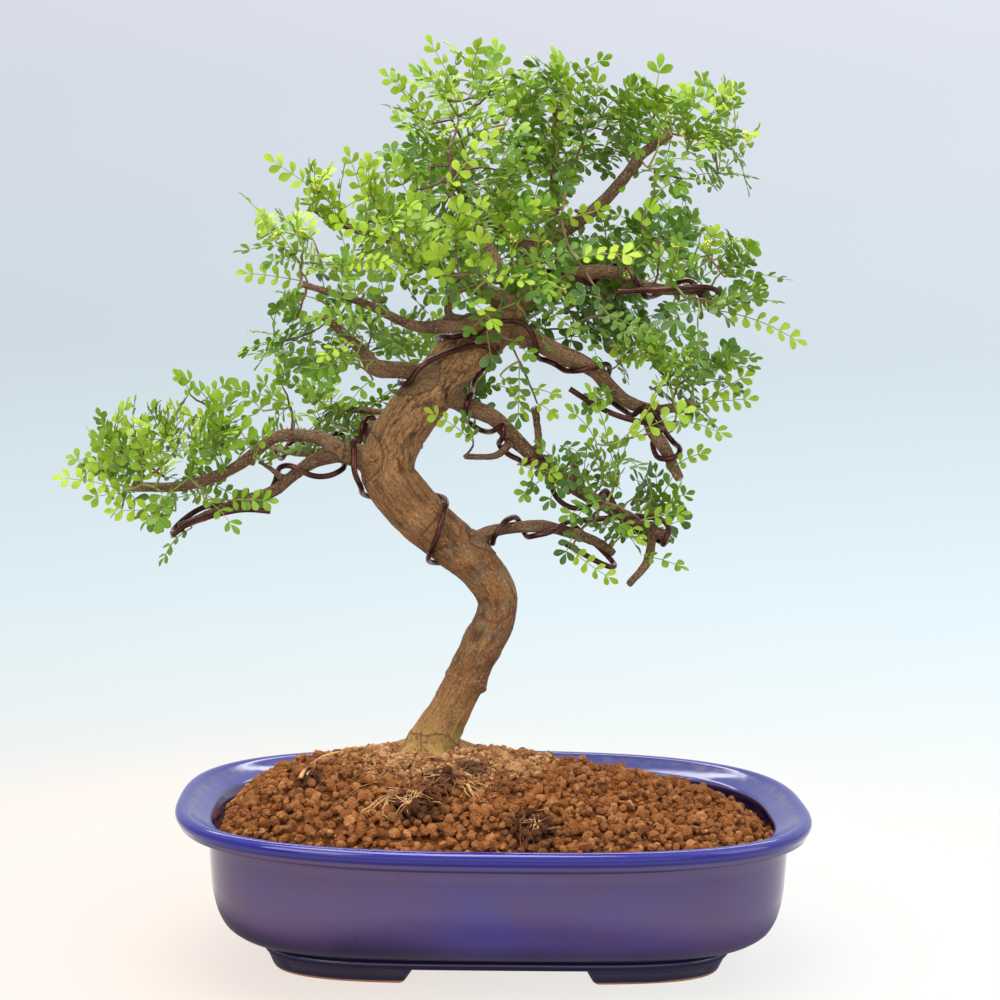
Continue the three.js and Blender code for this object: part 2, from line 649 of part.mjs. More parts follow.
const trunkSocket = limb(TRUNK, TRUNK_SIDES, TRUNK_STEP, SOCKET_GAP);
const rootBall = makeBall(0).intersect(makeSoilFill(ROOT_BALL_SHOWS)).subtract(trunkSocket);
const soil = makeSoilFill(0).subtract(makeBall(SEAT_GAP));
place('akadama_soil', largestBody(soil), AKADAMA);
place('root_ball', largestBody(rootBall), OLD_SOIL);
place('trunk_and_branches', makeWood(), BARK);

// Leaves keep clear of the wood, the wires and the pads placed before them.
const stretches = woodStretches();
let kept = makeWood(LEAF_GAP);
for (const [name, points] of Object.entries(WIRES)) {
  const route = wireRoute(points, stretches);
  place(name, wireTube(route, WIRE_DIAMETER / 2, WIRE_SIDES, WIRE_STEP), WIRE);
  kept = kept.add(wireRoom(route));
}
for (const [name, pad] of Object.entries(PADS)) {
  place(name, largestBody(padLump(pad).subtract(kept)), LEAF);
  kept = kept.add(padLump(pad, LEAF_GAP));
}

const bounds = new THREE.Box3().setFromObject(tree);
const middle = bounds.getCenter(new THREE.Vector3());
tree.position.set(-middle.x, -middle.y, -bounds.min.z);

const bonsai = new THREE.Group();
bonsai.add(tree);
export default bonsai;
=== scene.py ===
import math
import random

import bmesh
import bpy
import numpy as np
from mathutils import Matrix, Vector, kdtree, noise


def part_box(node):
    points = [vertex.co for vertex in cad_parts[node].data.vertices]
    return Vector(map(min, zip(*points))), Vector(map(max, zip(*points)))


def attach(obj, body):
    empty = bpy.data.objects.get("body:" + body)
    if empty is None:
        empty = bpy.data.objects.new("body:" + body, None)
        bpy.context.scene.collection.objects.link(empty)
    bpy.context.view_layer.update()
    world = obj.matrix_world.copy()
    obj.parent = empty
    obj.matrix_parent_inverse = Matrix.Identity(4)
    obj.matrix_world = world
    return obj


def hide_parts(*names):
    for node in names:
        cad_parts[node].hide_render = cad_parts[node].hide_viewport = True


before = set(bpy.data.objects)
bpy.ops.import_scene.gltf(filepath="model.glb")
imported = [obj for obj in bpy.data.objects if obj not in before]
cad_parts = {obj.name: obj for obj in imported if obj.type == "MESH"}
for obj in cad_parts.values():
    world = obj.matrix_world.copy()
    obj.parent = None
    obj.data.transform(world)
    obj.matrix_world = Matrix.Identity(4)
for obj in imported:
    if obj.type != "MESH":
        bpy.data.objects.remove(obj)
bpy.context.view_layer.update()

# Studio: the camera stands a metre in front of the pot and a little above the tree. The
# light is a pale tent with five soft boxes. Lengths in this file are in millimetres from
# the middle of the pot on the ground, with the front towards -Y, except inside materials.
MM = 0.001
CAMERA_PLACE = (-37.9, -999.3, 317.2)
CAMERA_LOOKS_ALONG = (0.03791, 0.995096, -0.091362)
CAMERA_ROLL = math.radians(1.215)
CAMERA_LENS = 73.88
SENSOR_WIDTH = 36
NEAREST_SEEN = 0.02
FARTHEST_SEEN = 40
# Each soft box: place, what it faces, width and height in metres, watts and tint.
SOFT_BOXES = {
    "top_soft_box": ((-150, -120, 1150), (0, 0, 260), 1.0, 0.55, 14.0, (1.0, 0.985, 0.96)),
    "left_soft_box": ((-800, -950, 800), (0, 0, 260), 0.8, 0.8, 9.0, (1.0, 0.985, 0.955)),
    "right_soft_box": ((1100, -450, 620), (0, 0, 240), 0.6, 0.9, 3.5, (0.97, 0.985, 1.0)),
    "back_strip": ((0, 650, 780), (0, 0, 80), 1.3, 0.12, 4.0, (1.0, 0.99, 0.97)),
    "low_front_fill": ((0, -700, 60), (0, -97, 50), 1.1, 0.16, 0.8, (1.0, 0.97, 0.95)),
}
pot_low, pot_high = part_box("pot")
POT_CENTRE = np.array([(pot_low.x + pot_high.x) / 2, (pot_low.y + pot_high.y) / 2, 0.0])


def to_frame(points):
    """Places in this file's millimetres as places in the frame."""
    return np.asarray(points, dtype=float) * MM + POT_CENTRE


def set_out(name, data):
    """A new object in the scene."""
    thing = bpy.data.objects.new(name, data)
    bpy.context.scene.collection.objects.link(thing)
    return thing


camera_data = bpy.data.cameras.new("camera")
camera_data.lens = CAMERA_LENS
camera_data.sensor_width = SENSOR_WIDTH
camera_data.clip_start = NEAREST_SEEN
camera_data.clip_end = FARTHEST_SEEN
camera = set_out("camera", camera_data)
aim = Vector(CAMERA_LOOKS_ALONG).to_track_quat("-Z", "Y").to_matrix()
camera.location = to_frame(CAMERA_PLACE)
camera.rotation_euler = (aim @ Matrix.Rotation(CAMERA_ROLL, 3, "Z")).to_euler()
bpy.context.scene.camera = camera
bpy.context.scene.view_settings.view_transform = "Standard"

for name, (place, faces, width, height, watts, tint) in SOFT_BOXES.items():
    light = bpy.data.lights.new(name, "AREA")
    light.shape = "RECTANGLE"
    light.size = width
    light.size_y = height
    light.energy = watts
    light.color = tint
    soft_box = set_out(name, light)
    soft_box.location = to_frame(place)
    towards = Vector(to_frame(faces)) - soft_box.location
    soft_box.rotation_euler = towards.to_track_quat("-Z", "Y").to_euler()


def feed(node, inputs):
    """Gives inputs, by name or number, a plain value or another node's output."""
    for key, value in inputs.items():
        socket = node.inputs[key]
        if isinstance(value, bpy.types.NodeSocket):
            node.id_data.links.new(value, socket)
        elif socket.type == "RGBA":
            socket.default_value = (*value, 1)
        else:
            socket.default_value = value


def add_node(tree, kind, inputs=None, **settings):
    """A new node, with its settings and what goes into its inputs."""
    node = tree.nodes.new(kind)
    for key, value in settings.items():
        setattr(node, key, value)
    feed(node, inputs or {})
    return node


def spot_on(tree, way="Object"):
    """The place on the piece, in metres, or the way its surface faces."""
    return add_node(tree, "ShaderNodeTexCoord").outputs[way]


def axes_of(vector):
    return add_node(vector.id_data, "ShaderNodeSeparateXYZ", {0: vector}).outputs


def ranged(value, low, high, to_low=0.0, to_high=1.0, smooth=False):
    """A value carried from one range to another, and held past the ends."""
    ends = {"Value": value, "From Min": low, "From Max": high, "To Min": to_low, "To Max": to_high}
    kind = "SMOOTHSTEP" if smooth else "LINEAR"
    return add_node(value.id_data, "ShaderNodeMapRange", ends, interpolation_type=kind).outputs["Result"]


def maths(operation, first, second=0.0):
    node = add_node(first.id_data, "ShaderNodeMath", {0: first, 1: second}, operation=operation)
    return node.outputs[0]


def product(first, *others):
    for other in others:
        first = maths("MULTIPLY", first, other)
    return first


def vector_maths(operation, first, inputs, output="Vector"):
    node = add_node(first.id_data, "ShaderNodeVectorMath", {0: first, **inputs}, operation=operation)
    return node.outputs[output]


def mixed(share, first, second):
    """A number between two numbers."""
    ends = {"Factor": share, "A": first, "B": second}
    return add_node(share.id_data, "ShaderNodeMix", ends, data_type="FLOAT").outputs["Result"]


def colour_row(value, stops):
    """The colours that a value runs through, each with the value where it stands."""
    node = add_node(value.id_data, "ShaderNodeValToRGB", {"Fac": value})
    for k, (at, colour) in enumerate(stops):
        stop = node.color_ramp.elements[k] if k < 2 else node.color_ramp.elements.new(at)
        stop.position = at
        stop.color = (*colour, 1)
    return node.outputs["Color"]


# The tent is near-white towards the floor, pale blue behind the tree and greyer above.
TENT_COLOURS = [
    (0.0, (0.97, 0.93, 0.89)), (0.375, (0.93, 0.92, 0.89)), (0.395, (0.885, 0.925, 0.915)),
    (0.43, (0.76, 0.88, 0.936)), (0.49, (0.63, 0.722, 0.785)), (0.56, (0.69, 0.726, 0.808)),
    (0.72, (0.86, 0.88, 0.92)), (1.0, (1.0, 1.0, 1.0)),
]
TENT_LIGHT = 1.0
DARK_ROOM = 0.5
LEFT_OF_TENT = 0.82
RIGHT_OF_TENT = 1.22

world = bpy.data.worlds.new("pale_tent")
world.use_nodes = True
bpy.context.scene.world = world
tent = world.node_tree
tent.nodes.clear()
looking = axes_of(spot_on(tent, "Generated"))
tent_colour = colour_row(ranged(looking["Z"], -1, 1), TENT_COLOURS)
tent_colour = vector_maths(
    "SCALE", tent_colour, {"Scale": ranged(looking["X"], -1, 1, LEFT_OF_TENT, RIGHT_OF_TENT)})
# Low down in front the room is dark, and that is seen only in reflections.
in_front = ranged(looking["Y"], -0.2, -0.7, smooth=True)
low_down = ranged(looking["Z"], 0.22, 0.0, smooth=True)
room = ranged(product(in_front, low_down), 0, 1, TENT_LIGHT, DARK_ROOM)
straight_on = add_node(tent, "ShaderNodeLightPath").outputs["Is Camera Ray"]
strength = mixed(straight_on, room, TENT_LIGHT)
glow = add_node(tent, "ShaderNodeBackground", {"Color": tent_colour, "Strength": strength})
add_node(tent, "ShaderNodeOutputWorld", {"Surface": glow.outputs["Background"]})

# Floor: a pale sheet lit softly from below, so that shadows on it are faint. Its glow is
# warmer and dimmer on the left and whiter on the right, painted light that falls stronger
# from the right. It fades into the tent, so that it has no edge in any view. In reflections
# it is dim close to the pot, a painted shadow of the pot.
FLOOR_REACH = 1500
FLOOR_MIDDLE = (0, 0.06, 0)
FLOOR_SOLID = 0.24
FLOOR_GONE = 0.52
# Painted light: the floor's glow is warmer and dimmer on the left, whiter on the right.
FLOOR_LEFT = (1.0, 0.9, 0.83)
FLOOR_RIGHT = (1.0, 1.0, 0.985)
# The pot is longer than deep, so what is close to it is measured on a squeezed plan.
PLAN_SQUEEZE = (0.69, 1, 0)


def new_finish(name):
    """A new material, with its tree and its shader."""
    paint = bpy.data.materials.new(name)
    paint.use_nodes = True
    return paint, paint.node_tree, paint.node_tree.nodes["Principled BSDF"]


def blended(share, first, second):
    """A colour between two colours, where the share or the first is another node's output."""
    tree = (share if isinstance(share, bpy.types.NodeSocket) else first).id_data
    return add_node(tree, "ShaderNodeMix", {0: share, 6: first, 7: second}, data_type="RGBA").outputs[2]


floor_mesh = bpy.data.meshes.new("floor")
floor_corners = np.array([(-1, -1, 0), (1, -1, 0), (1, 1, 0), (-1, 1, 0)])
floor_mesh.from_pydata(to_frame(floor_corners * FLOOR_REACH).tolist(), [], [(0, 1, 2, 3)])
floor = set_out("floor", floor_mesh)

floor_paint, tree, shader = new_finish("floor_sheet")
spot = spot_on(tree)
from_middle = vector_maths("DISTANCE", spot, {1: FLOOR_MIDDLE}, "Value")
from_pot = vector_maths("SUBTRACT", spot, {1: tuple(POT_CENTRE)})
pot_gap = vector_maths("LENGTH", vector_maths("MULTIPLY", from_pot, {1: PLAN_SQUEEZE}), {}, "Value")
sheet_side = ranged(axes_of(spot)["X"], -0.12, 0.16, smooth=True)
ray = add_node(tree, "ShaderNodeLightPath").outputs
plain_glow = ranged(ray["Is Camera Ray"], 0, 1, 0.62, 0.78)
reflected_glow = ranged(pot_gap, 0.115, 0.155, 0.1, 0.85)
feed(shader, {
    "Base Color": (0.1, 0.095, 0.09),
    "Roughness": 0.7,
    "Specular IOR Level": 0.2,
    "Alpha": ranged(from_middle, FLOOR_SOLID, FLOOR_GONE, 1, 0, smooth=True),
    "Emission Color": blended(sheet_side, FLOOR_LEFT, FLOOR_RIGHT),
    "Emission Strength": mixed(ray["Is Glossy Ray"], plain_glow, reflected_glow),
})
floor_mesh.materials.append(floor_paint)

# Pot: one piece of fired stoneware with a rolled rim, a sloping inner lip and four
# corner feet, dipped in cobalt glaze and wiped bare where it stands. Each entry of its
# section is how far in from the rim, and the height. Its plan is a rounded oval.
RIM_HALF_LENGTH = 155
RIM_HALF_DEPTH = 110
RIM_SQUARENESS = 2.8
OVAL_FINENESS = 12
POT_COLUMNS = 220
POT_SECTION = [
    (62, 9), (48, 9), (42, 9), (41, 9.6), (40.6, 11.2), (40.9, 12.6), (42.2, 13.3),
    (40, 14.2), (35, 15.9), (29, 18.4), (22.8, 22.8), (20, 26.6), (17.9, 31), (15.9, 38),
    (14.9, 45), (13.8, 59), (13.5, 63), (13.3, 65), (12.9, 66), (11.6, 66.9), (5, 68.4),
    (2.9, 69), (2.2, 70), (1.7, 71.6), (0.5, 73), (0, 75), (0.6, 76.8), (2.2, 77.9),
    (4.2, 78), (6.2, 77.3), (9, 75.2), (12.4, 73.4), (15, 72.3), (16.8, 71.5), (17.7, 70.2),
    (18.1, 68), (18.5, 62), (19.4, 50), (22, 34), (28, 23), (38, 17.6), (46, 17), (62, 17),
]
# Towards its base the pot is squarer and shallower, and its body sits a little to the
# right under the rim.
BASE_SQUARENESS = 4
BASE_SHALLOWER = 7
WALL_TOP = 66
WALL_FOOT = 13
BODY_SHIFT = 2.6
SHIFT_STARTS = 70
SHIFT_RUN = 5
DRAIN_RADIUS = 13
DRAIN_POINTS = 64
DRAIN_PLACES = (-70, 70)
DRAIN_PLUG = (5.0, 25.0)


def oval(half_length, half_depth, squareness, count):
    """Points evenly along an oval that is the squarer, the higher its squareness."""
    fine = np.linspace(0, 2 * math.pi, count * OVAL_FINENESS, endpoint=False)
    c, s = np.cos(fine), np.sin(fine)
    x = half_length * np.sign(c) * np.abs(c) ** (2 / squareness)
    y = half_depth * np.sign(s) * np.abs(s) ** (2 / squareness)
    x, y = np.append(x, x[0]), np.append(y, y[0])
    run = np.concatenate([[0], np.cumsum(np.hypot(np.diff(x), np.diff(y)))])
    at = np.linspace(0, run[-1], count, endpoint=False)
    return np.stack([np.interp(at, run, x), np.interp(at, run, y)], axis=1)


def pot_ring(inset, height, count):
    """The pot's plan at a height, so far in from the rim, as points."""
    low = min(1, max(0, (WALL_TOP - height) / (WALL_TOP - WALL_FOOT))) ** 2
    shift = BODY_SHIFT * min(1, max(0, (SHIFT_STARTS - height) / SHIFT_RUN))
    squareness = RIM_SQUARENESS + (BASE_SQUARENESS - RIM_SQUARENESS) * low
    half_depth = RIM_HALF_DEPTH - inset - BASE_SHALLOWER * low
    plan = oval(RIM_HALF_LENGTH - inset, half_depth, squareness, count)
    return np.column_stack([plan + (shift, 0), np.full(count, height)])


def round_corners(line, rounds, closed=False):
    """Cuts the corners of a line of points, so that it bends smoothly."""
    line = np.asarray(line, dtype=float)
    for _ in range(rounds):
        after = np.roll(line, -1, axis=0) if closed else line[1:]
        before = line if closed else line[:-1]
        cut = np.stack([before * 0.75 + after * 0.25, before * 0.25 + after * 0.75], axis=1)
        cut = cut.reshape(-1, line.shape[1])
        line = cut if closed else np.concatenate([line[:1], cut, line[-1:]])
    return line


def ring_skin(rings, cap=True):
    """A closed skin over a stack of rings of points: points and faces."""
    count = len(rings[0])
    points = np.concatenate(rings)
    faces = []
    for k in range(len(rings) - 1):
        here, above = k * count, (k + 1) * count
        for j in range(count):
            n = (j + 1) % count
            faces.append((here + j, here + n, above + n, above + j))
    if cap:
        faces.append(tuple(reversed(range(count))))
        faces.append(tuple(range(len(points) - count, len(points))))
    return points, faces


def mesh_object(name, points, faces):
    """A smooth-shaded piece from points in this file's millimetres."""
    mesh = bpy.data.meshes.new(name)
    faces = faces.tolist() if isinstance(faces, np.ndarray) else faces
    mesh.from_pydata(to_frame(points).tolist(), [], faces)
    mesh.polygons.foreach_set("use_smooth", [True] * len(mesh.polygons))
    mesh.update()
    return set_out(name, mesh)


def bake_modifiers(thing):
    seen = bpy.context.evaluated_depsgraph_get()
    thing.data = bpy.data.meshes.new_from_object(thing.evaluated_get(seen))
    thing.modifiers.clear()


def cut_or_join(thing, other, operation):
    step = thing.modifiers.new(operation.lower(), "BOOLEAN")
    step.operation = operation
    step.solver = "EXACT"
    step.object = other
    bake_modifiers(thing)
    bpy.data.objects.remove(other)


section = round_corners(POT_SECTION, 1)
pot_rings = [pot_ring(inset, height, POT_COLUMNS) for inset, height in section]
pot = mesh_object("glazed_pot", *ring_skin(pot_rings))

# One foot fills the front right corner of an oval ring, and the others mirror it. Its
# levels are height, outer half length and depth, gap half width along and across, and
# how much smaller the whole foot is there.
FOOT_WALL = 16
FOOT_LEVELS = [
    (0, 110, 54, 44.6, 22, 1.1), (0.3, 110, 54, 44.6, 22, 0.45), (0.9, 110, 54.3, 44.3, 21.8, 0.1),
    (1.6, 110.2, 54.7, 44, 21.6, 0), (9.6, 113.2, 61.4, 40, 18, 0),
]
FOOT_ARC_POINTS = 30


def foot_arc(half_length, half_depth, from_x, from_y):
    """The oval's quarter between the gap across, at from_x, and the gap along, at from_y."""
    power = BASE_SQUARENESS
    start = math.acos(min(1, (from_x / half_length) ** (power / 2)))
    end = math.asin(min(1, (from_y / half_depth) ** (power / 2)))
    angles = np.linspace(start, end, FOOT_ARC_POINTS)
    x = half_length * np.cos(angles) ** (2 / power)
    y = half_depth * np.sin(angles) ** (2 / power)
    return np.stack([x, y], axis=1)


for mirror_x, mirror_y in ((1, 1), (1, -1), (-1, 1), (-1, -1)):
    foot_rings = []
    for height, half_length, half_depth, gap_x, gap_y, smaller in FOOT_LEVELS:
        outer = foot_arc(half_length - smaller, half_depth - smaller, gap_x + smaller, gap_y + smaller)
        thinner = FOOT_WALL - smaller
        inner = foot_arc(half_length - thinner, half_depth - thinner, gap_x + smaller, gap_y + smaller)
        outline = round_corners(np.concatenate([outer, inner[::-1]]), 2, closed=True)
        outline = outline * (mirror_x, -mirror_y) + (BODY_SHIFT, 0)
        if mirror_x * mirror_y < 0:
            outline = outline[::-1]
        foot_rings.append(np.column_stack([outline, np.full(len(outline), height)]))
    cut_or_join(pot, mesh_object("foot", *ring_skin(foot_rings)), "UNION")
for drain_x in DRAIN_PLACES:
    turn = np.linspace(0, 2 * math.pi, DRAIN_POINTS, endpoint=False)
    circle = np.stack([drain_x + DRAIN_RADIUS * np.cos(turn), DRAIN_RADIUS * np.sin(turn)], axis=1)
    plug_rings = [np.column_stack([circle, np.full(DRAIN_POINTS, z)]) for z in DRAIN_PLUG]
    cut_or_join(pot, mesh_object("drain", *ring_skin(plug_rings)), "DIFFERENCE")
pot.data.set_sharp_from_angle(angle=math.radians(50))

# Fine wear, used by several finishes: blotches, a grain that can be drawn out along Z,
# and pale flecks, all from noise in the place that it is given.
WEAR_SCALES = {"Blotch Scale": 30.0, "Grain Scale": 400.0, "Grain Draw": 1.0}

wear = bpy.data.node_groups.new("fine_wear", "ShaderNodeTree")
wear.interface.new_socket(name="Place", in_out="INPUT", socket_type="NodeSocketVector")
for name, usual in WEAR_SCALES.items():
    socket = wear.interface.new_socket(name=name, in_out="INPUT", socket_type="NodeSocketFloat")
    socket.default_value = usual
for name in ("Blotches", "Grain", "Flecks"):
    wear.interface.new_socket(name=name, in_out="OUTPUT", socket_type="NodeSocketFloat")
given = add_node(wear, "NodeGroupInput").outputs
draw = add_node(wear, "ShaderNodeCombineXYZ", {"X": 1, "Y": 1, "Z": given["Grain Draw"]})
drawn = vector_maths("MULTIPLY", given["Place"], {1: draw.outputs[0]})
blotches = add_node(
    wear, "ShaderNodeTexNoise",
    {"Vector": given["Place"], "Scale": given["Blotch Scale"], "Detail": 4})
grain = add_node(
    wear, "ShaderNodeTexNoise",
    {"Vector": drawn, "Scale": given["Grain Scale"], "Detail": 6, "Roughness": 0.62})
cells = add_node(
    wear, "ShaderNodeTexVoronoi",
    {"Vector": given["Place"], "Scale": given["Grain Scale"]})
add_node(wear, "NodeGroupOutput", {
    "Blotches": blotches.outputs["Fac"],
    "Grain": grain.outputs["Fac"],
    "Flecks": ranged(cells.outputs["Distance"], 0.26, 0.12),
})


def add_wear(place, blotch_scale, grain_scale, grain_draw=1.0):
    node = add_node(place.id_data, "ShaderNodeGroup", {}, node_tree=wear)
    feed(node, {
        "Place": place, "Blotch Scale": blotch_scale,
        "Grain Scale": grain_scale, "Grain Draw": grain_draw,
    })
    return node.outputs


def bumped(height, strength, distance):
    node = add_node(
        height.id_data, "ShaderNodeBump",
        {"Height": height, "Strength": strength, "Distance": distance})
    return node.outputs["Normal"]


def layered(colour, *layers):
    """A colour with others laid over it in turn, each through its mask."""
    for mask, layer in layers:
        colour = blended(mask, colour, layer)
    return colour


glaze, tree, shader = new_finish("cobalt_glaze")
spot = spot_on(tree)
faces_along = spot_on(tree, "Normal")
where = axes_of(spot)
across, high = where["X"], where["Z"]
upward = axes_of(faces_along)["Z"]
marks = add_wear(spot, 26.0, 900.0)
# The wall is darker towards its foot, below a wavy line: partly the glaze's own colour and
# partly painted shade for the shadowed floor that it mirrors there. The glaze is thin and
# ruddy towards the ends, is painted lighter under the roll, a painted fill light where the
# roll's overhang shades it, and is thickest on the roll.
dark_foot_wobble = add_node(tree, "ShaderNodeTexNoise", {"Vector": spot, "Scale": 9, "Detail": 3})
wavy_high = maths("ADD", high, ranged(dark_foot_wobble.outputs["Fac"], 0.3, 0.7, -0.008, 0.008))
# Painted fill light: the band just under the roll is painted a lighter purple where the roll's overhang
# shades the wall.
under_roll_fill_light = product(ranged(high, 0.0595, 0.0625), ranged(high, 0.0663, 0.0655))
# Painted shade: a dark line painted into the crease of the step under the roll.
step_crease_shade = product(ranged(high, 0.0655, 0.0663), ranged(high, 0.0676, 0.0668))
on_roll = ranged(high, 0.0708, 0.0726, smooth=True)
wall = layered(
    (0.068, 0.037, 0.13),
    (ranged(marks["Blotches"], 0.35, 0.7, 0.0, 0.9), (0.052, 0.043, 0.215)),
    (ranged(across, 0.02, -0.06, 0.0, 0.6), (0.088, 0.047, 0.1)),
    (ranged(across, 0.07, 0.13, 0.0, 0.4), (0.088, 0.047, 0.112)),
    (product(under_roll_fill_light, 0.5), (0.13, 0.075, 0.2)),
)
# The lip that slopes into the pot is a paler blue with a film of soil dust.
on_lip = product(
    ranged(upward, 0.55, 0.8), ranged(high, 0.0775, 0.0762), ranged(high, 0.0695, 0.071))
smeared = add_wear(spot, 40.0, 130.0, 0.5)
dusty = product(
    on_lip, ranged(smeared["Grain"], 0.4, 0.75, 0.05, 0.5), ranged(high, 0.0727, 0.0752, 0.15, 1.0))
facing_out = vector_maths("DOT_PRODUCT", faces_along, {1: spot}, "Value")
# Painted shade: the inner wall between the lip and the soil is painted near-black navy where it lies in
# shade.
inner_wall_shade = product(
    ranged(high, 0.0708, 0.0698), ranged(upward, 0.75, 0.45), ranged(facing_out, 0.0, -0.02))
pits = add_node(tree, "ShaderNodeTexVoronoi", {"Vector": spot, "Scale": 95})
pit = ranged(pits.outputs["Distance"], 0.045, 0.02)
# The feet are wiped bare where they stand, and show brown clay.
wavy_foot = maths("ADD", high, ranged(marks["Blotches"], 0.3, 0.7, -0.0004, 0.0004))
bare = ranged(wavy_foot, 0.0016, 0.0012)
clay = blended(marks["Grain"], (0.22, 0.085, 0.03), (0.5, 0.24, 0.1))
colour = layered(
    (0.012, 0.005, 0.042),
    # partly painted shade: dark below the wavy line towards the foot of the wall
    (ranged(wavy_high, 0.017, 0.036, smooth=True), wall),
    (ranged(high, 0.0135, 0.0125), (0.016, 0.011, 0.045)),
    (product(step_crease_shade, 0.8), (0.01, 0.006, 0.03)),
    (on_roll, (0.01, 0.007, 0.18)),
    (on_lip, (0.022, 0.028, 0.2)),
    (dusty, (0.2, 0.17, 0.18)),
    (product(inner_wall_shade, 0.85), (0.01, 0.006, 0.05)),
    (pit, (0.01, 0.008, 0.02)),
    (bare, clay),
)
gloss = ranged(marks["Blotches"], 0.3, 0.75, 0.07, 0.2)
gloss = maths("MAXIMUM", gloss, product(dusty, 0.7))
gloss = maths("MAXIMUM", gloss, product(bare, 0.85))
ripple = add_node(tree, "ShaderNodeTexNoise", {"Vector": spot, "Scale": 34, "Detail": 3})
relief = maths("SUBTRACT", product(ripple.outputs["Fac"], 2.0), product(pit, 0.9))
relief = maths("ADD", relief, product(bare, marks["Grain"], 1.5))
feed(shader, {
    "Base Color": colour,
    "Roughness": gloss,
    "IOR": 1.54,
    "Normal": bumped(relief, 0.12, 0.001),
})
pot.data.materials.clear()
pot.data.materials.append(glaze)
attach(pot, "root")
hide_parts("pot")

# Drain screens and staples: squares of woven black plastic over the drain holes, held
# down by bent wire staples. Both lie under the soil, and are seen only from below.


def worn_finish(name, blotch_scale, grain_scale):
    """A new finish with fine wear over the whole piece: material, tree, shader and wear."""
    paint, tree, shader = new_finish(name)
    return paint, tree, shader, add_wear(spot_on(tree), blotch_scale, grain_scale)


plastic, tree, shader, marks = worn_finish("screen_plastic", 300.0, 2200.0)
feed(shader, {
    "Base Color": blended(marks["Blotches"], (0.015, 0.015, 0.015), (0.07, 0.06, 0.055)),
    "Roughness": ranged(marks["Grain"], 0.3, 0.7, 0.45, 0.7),
    "Normal": bumped(marks["Grain"], 0.3, 0.0002),
})
staple_metal, tree, shader, marks = worn_finish("staple_metal", 200.0, 1500.0)
feed(shader, {
    "Base Color": blended(marks["Blotches"], (0.32, 0.3, 0.28), (0.62, 0.61, 0.6)),
    "Metallic": 1.0,
    "Roughness": ranged(marks["Grain"], 0.3, 0.7, 0.3, 0.55),
})
for side in ("left", "right"):
    for node_name, finish in (("drain_screen_", plastic), ("screen_staple_", staple_metal)):
        node_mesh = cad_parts[node_name + side].data
        node_mesh.materials.clear()
        node_mesh.materials.append(finish)

# Akadama soil: hard grains of red-brown clay, sieved to 3 to 8 mm, poured round the
# root ball and settled into a broad mound. Under the loose top layer the fill is solid.
SOIL_EDGE = 68
SOIL_INSET = 19
MOUND_HEIGHT = 31
SETTLED = 3.6
SETTLED_BACK = 7
MOUND_CENTRE = (-30, 5)
MOUND_REACH = (100, 55)
MOUND_BACK_REACH = 34
BALL_CENTRE = (-24, 4, 70)
BALL_HALF = (62, 46, 44)
GRAIN_PITCH = 4.75
ROW_SHARE = 0.87
GRAIN_JITTER = 1.6
GRAIN_SIZES = (3.0, 8.0)
GRAIN_EVENNESS = (1.5, 2.2)
GRAIN_LIFTS = (-1.2, 1.6)
GRAIN_SHAPES = 16
GRAIN_SHARP_EDGE = math.radians(27)
STACKED_GRAINS = 200
STACKED_SIZES = (2.8, 5.6)
STACKED_LIFTS = (2.2, 3.6)
CRUMBS = 1450
CRUMB_SHAPES = 8
CRUMB_SIZES = (1.1, 2.7)
CRUMB_LIFTS = (0.0, 2.6)
SHELF = 30
# Grains lie out to this share of the way to the wall, give or take a little.
OUTERMOST = 0.996
OUTERMOST_SPREAD = 0.008
# Where watering left the soil darker: place, and reach.
DAMP_PATCHES = [((16, -69), 16), ((-37, -55), 17), ((-26, -34), 11), ((-12, -24), 10), ((-90, -24), 9)]
DAMP_FADE = 2.2
chance = random.Random(11)


def wall_share(x, y):
    """How far out towards the pot's wall a place is, with 1 at the wall."""
    total = np.abs((x - BODY_SHIFT) / (RIM_HALF_LENGTH - SOIL_INSET)) ** RIM_SQUARENESS
    total = total + np.abs(y / (RIM_HALF_DEPTH - SOIL_INSET)) ** RIM_SQUARENESS
    return total ** (1 / RIM_SQUARENESS)


def rising(value, low, high):
    return np.clip((value - low) / (high - low), 0, 1)


def soil_top(x, y):
    """The height of the soil at a place."""
    across = (x - MOUND_CENTRE[0]) / MOUND_REACH[0]
    deep = (y - MOUND_CENTRE[1]) / np.where(y > MOUND_CENTRE[1], MOUND_BACK_REACH, MOUND_REACH[1])
    swell = np.exp(-(across ** 2 + deep ** 2) / 2)
    share = wall_share(x, y)
    settled = SETTLED + SETTLED_BACK * rising(y, -50, 30) * np.maximum(0.2, rising(x, -60, 110))
    return SOIL_EDGE + MOUND_HEIGHT * swell * np.maximum(0, 1 - share ** 10) - settled * share ** 7


def ball_share(x, y):
    """Below 1 over the root ball."""
    z = soil_top(x, y)
    place = np.array([x, y, z])
    return float(np.linalg.norm((place - BALL_CENTRE) / BALL_HALF))


def crumb(detail, facets, seed):
    """An angular grain of about unit radius: points and triangles."""
    source = random.Random(seed)
    cuts = []
    for _ in range(facets):
        way = Vector([source.gauss(0, 1) for _ in range(3)]).normalized()
        cuts.append((way, source.uniform(0.62, 1.0)))
    body = bmesh.new()
    bmesh.ops.create_icosphere(body, subdivisions=detail, radius=1)
    shift = Vector((seed * 7.3, seed * 3.1, seed * 5.7))
    points = []
    for vert in body.verts:
        reach = 1.1
        for way, depth in cuts:
            facing = vert.co.dot(way)
            if facing > 0.05:
                reach = min(reach, depth / facing)
        points.append(vert.co * (reach + 0.2 * noise.noise(vert.co * 2.4 + shift)))
    faces = [[vert.index for vert in face.verts] for face in body.faces]
    body.free()
    return np.array(points), np.array(faces)


def any_turn(source):
    """A random rotation as a 3 by 3 array."""
    axis = Vector([source.gauss(0, 1) for _ in range(3)])
    return np.array(Matrix.Rotation(source.uniform(0, 2 * math.pi), 3, axis))


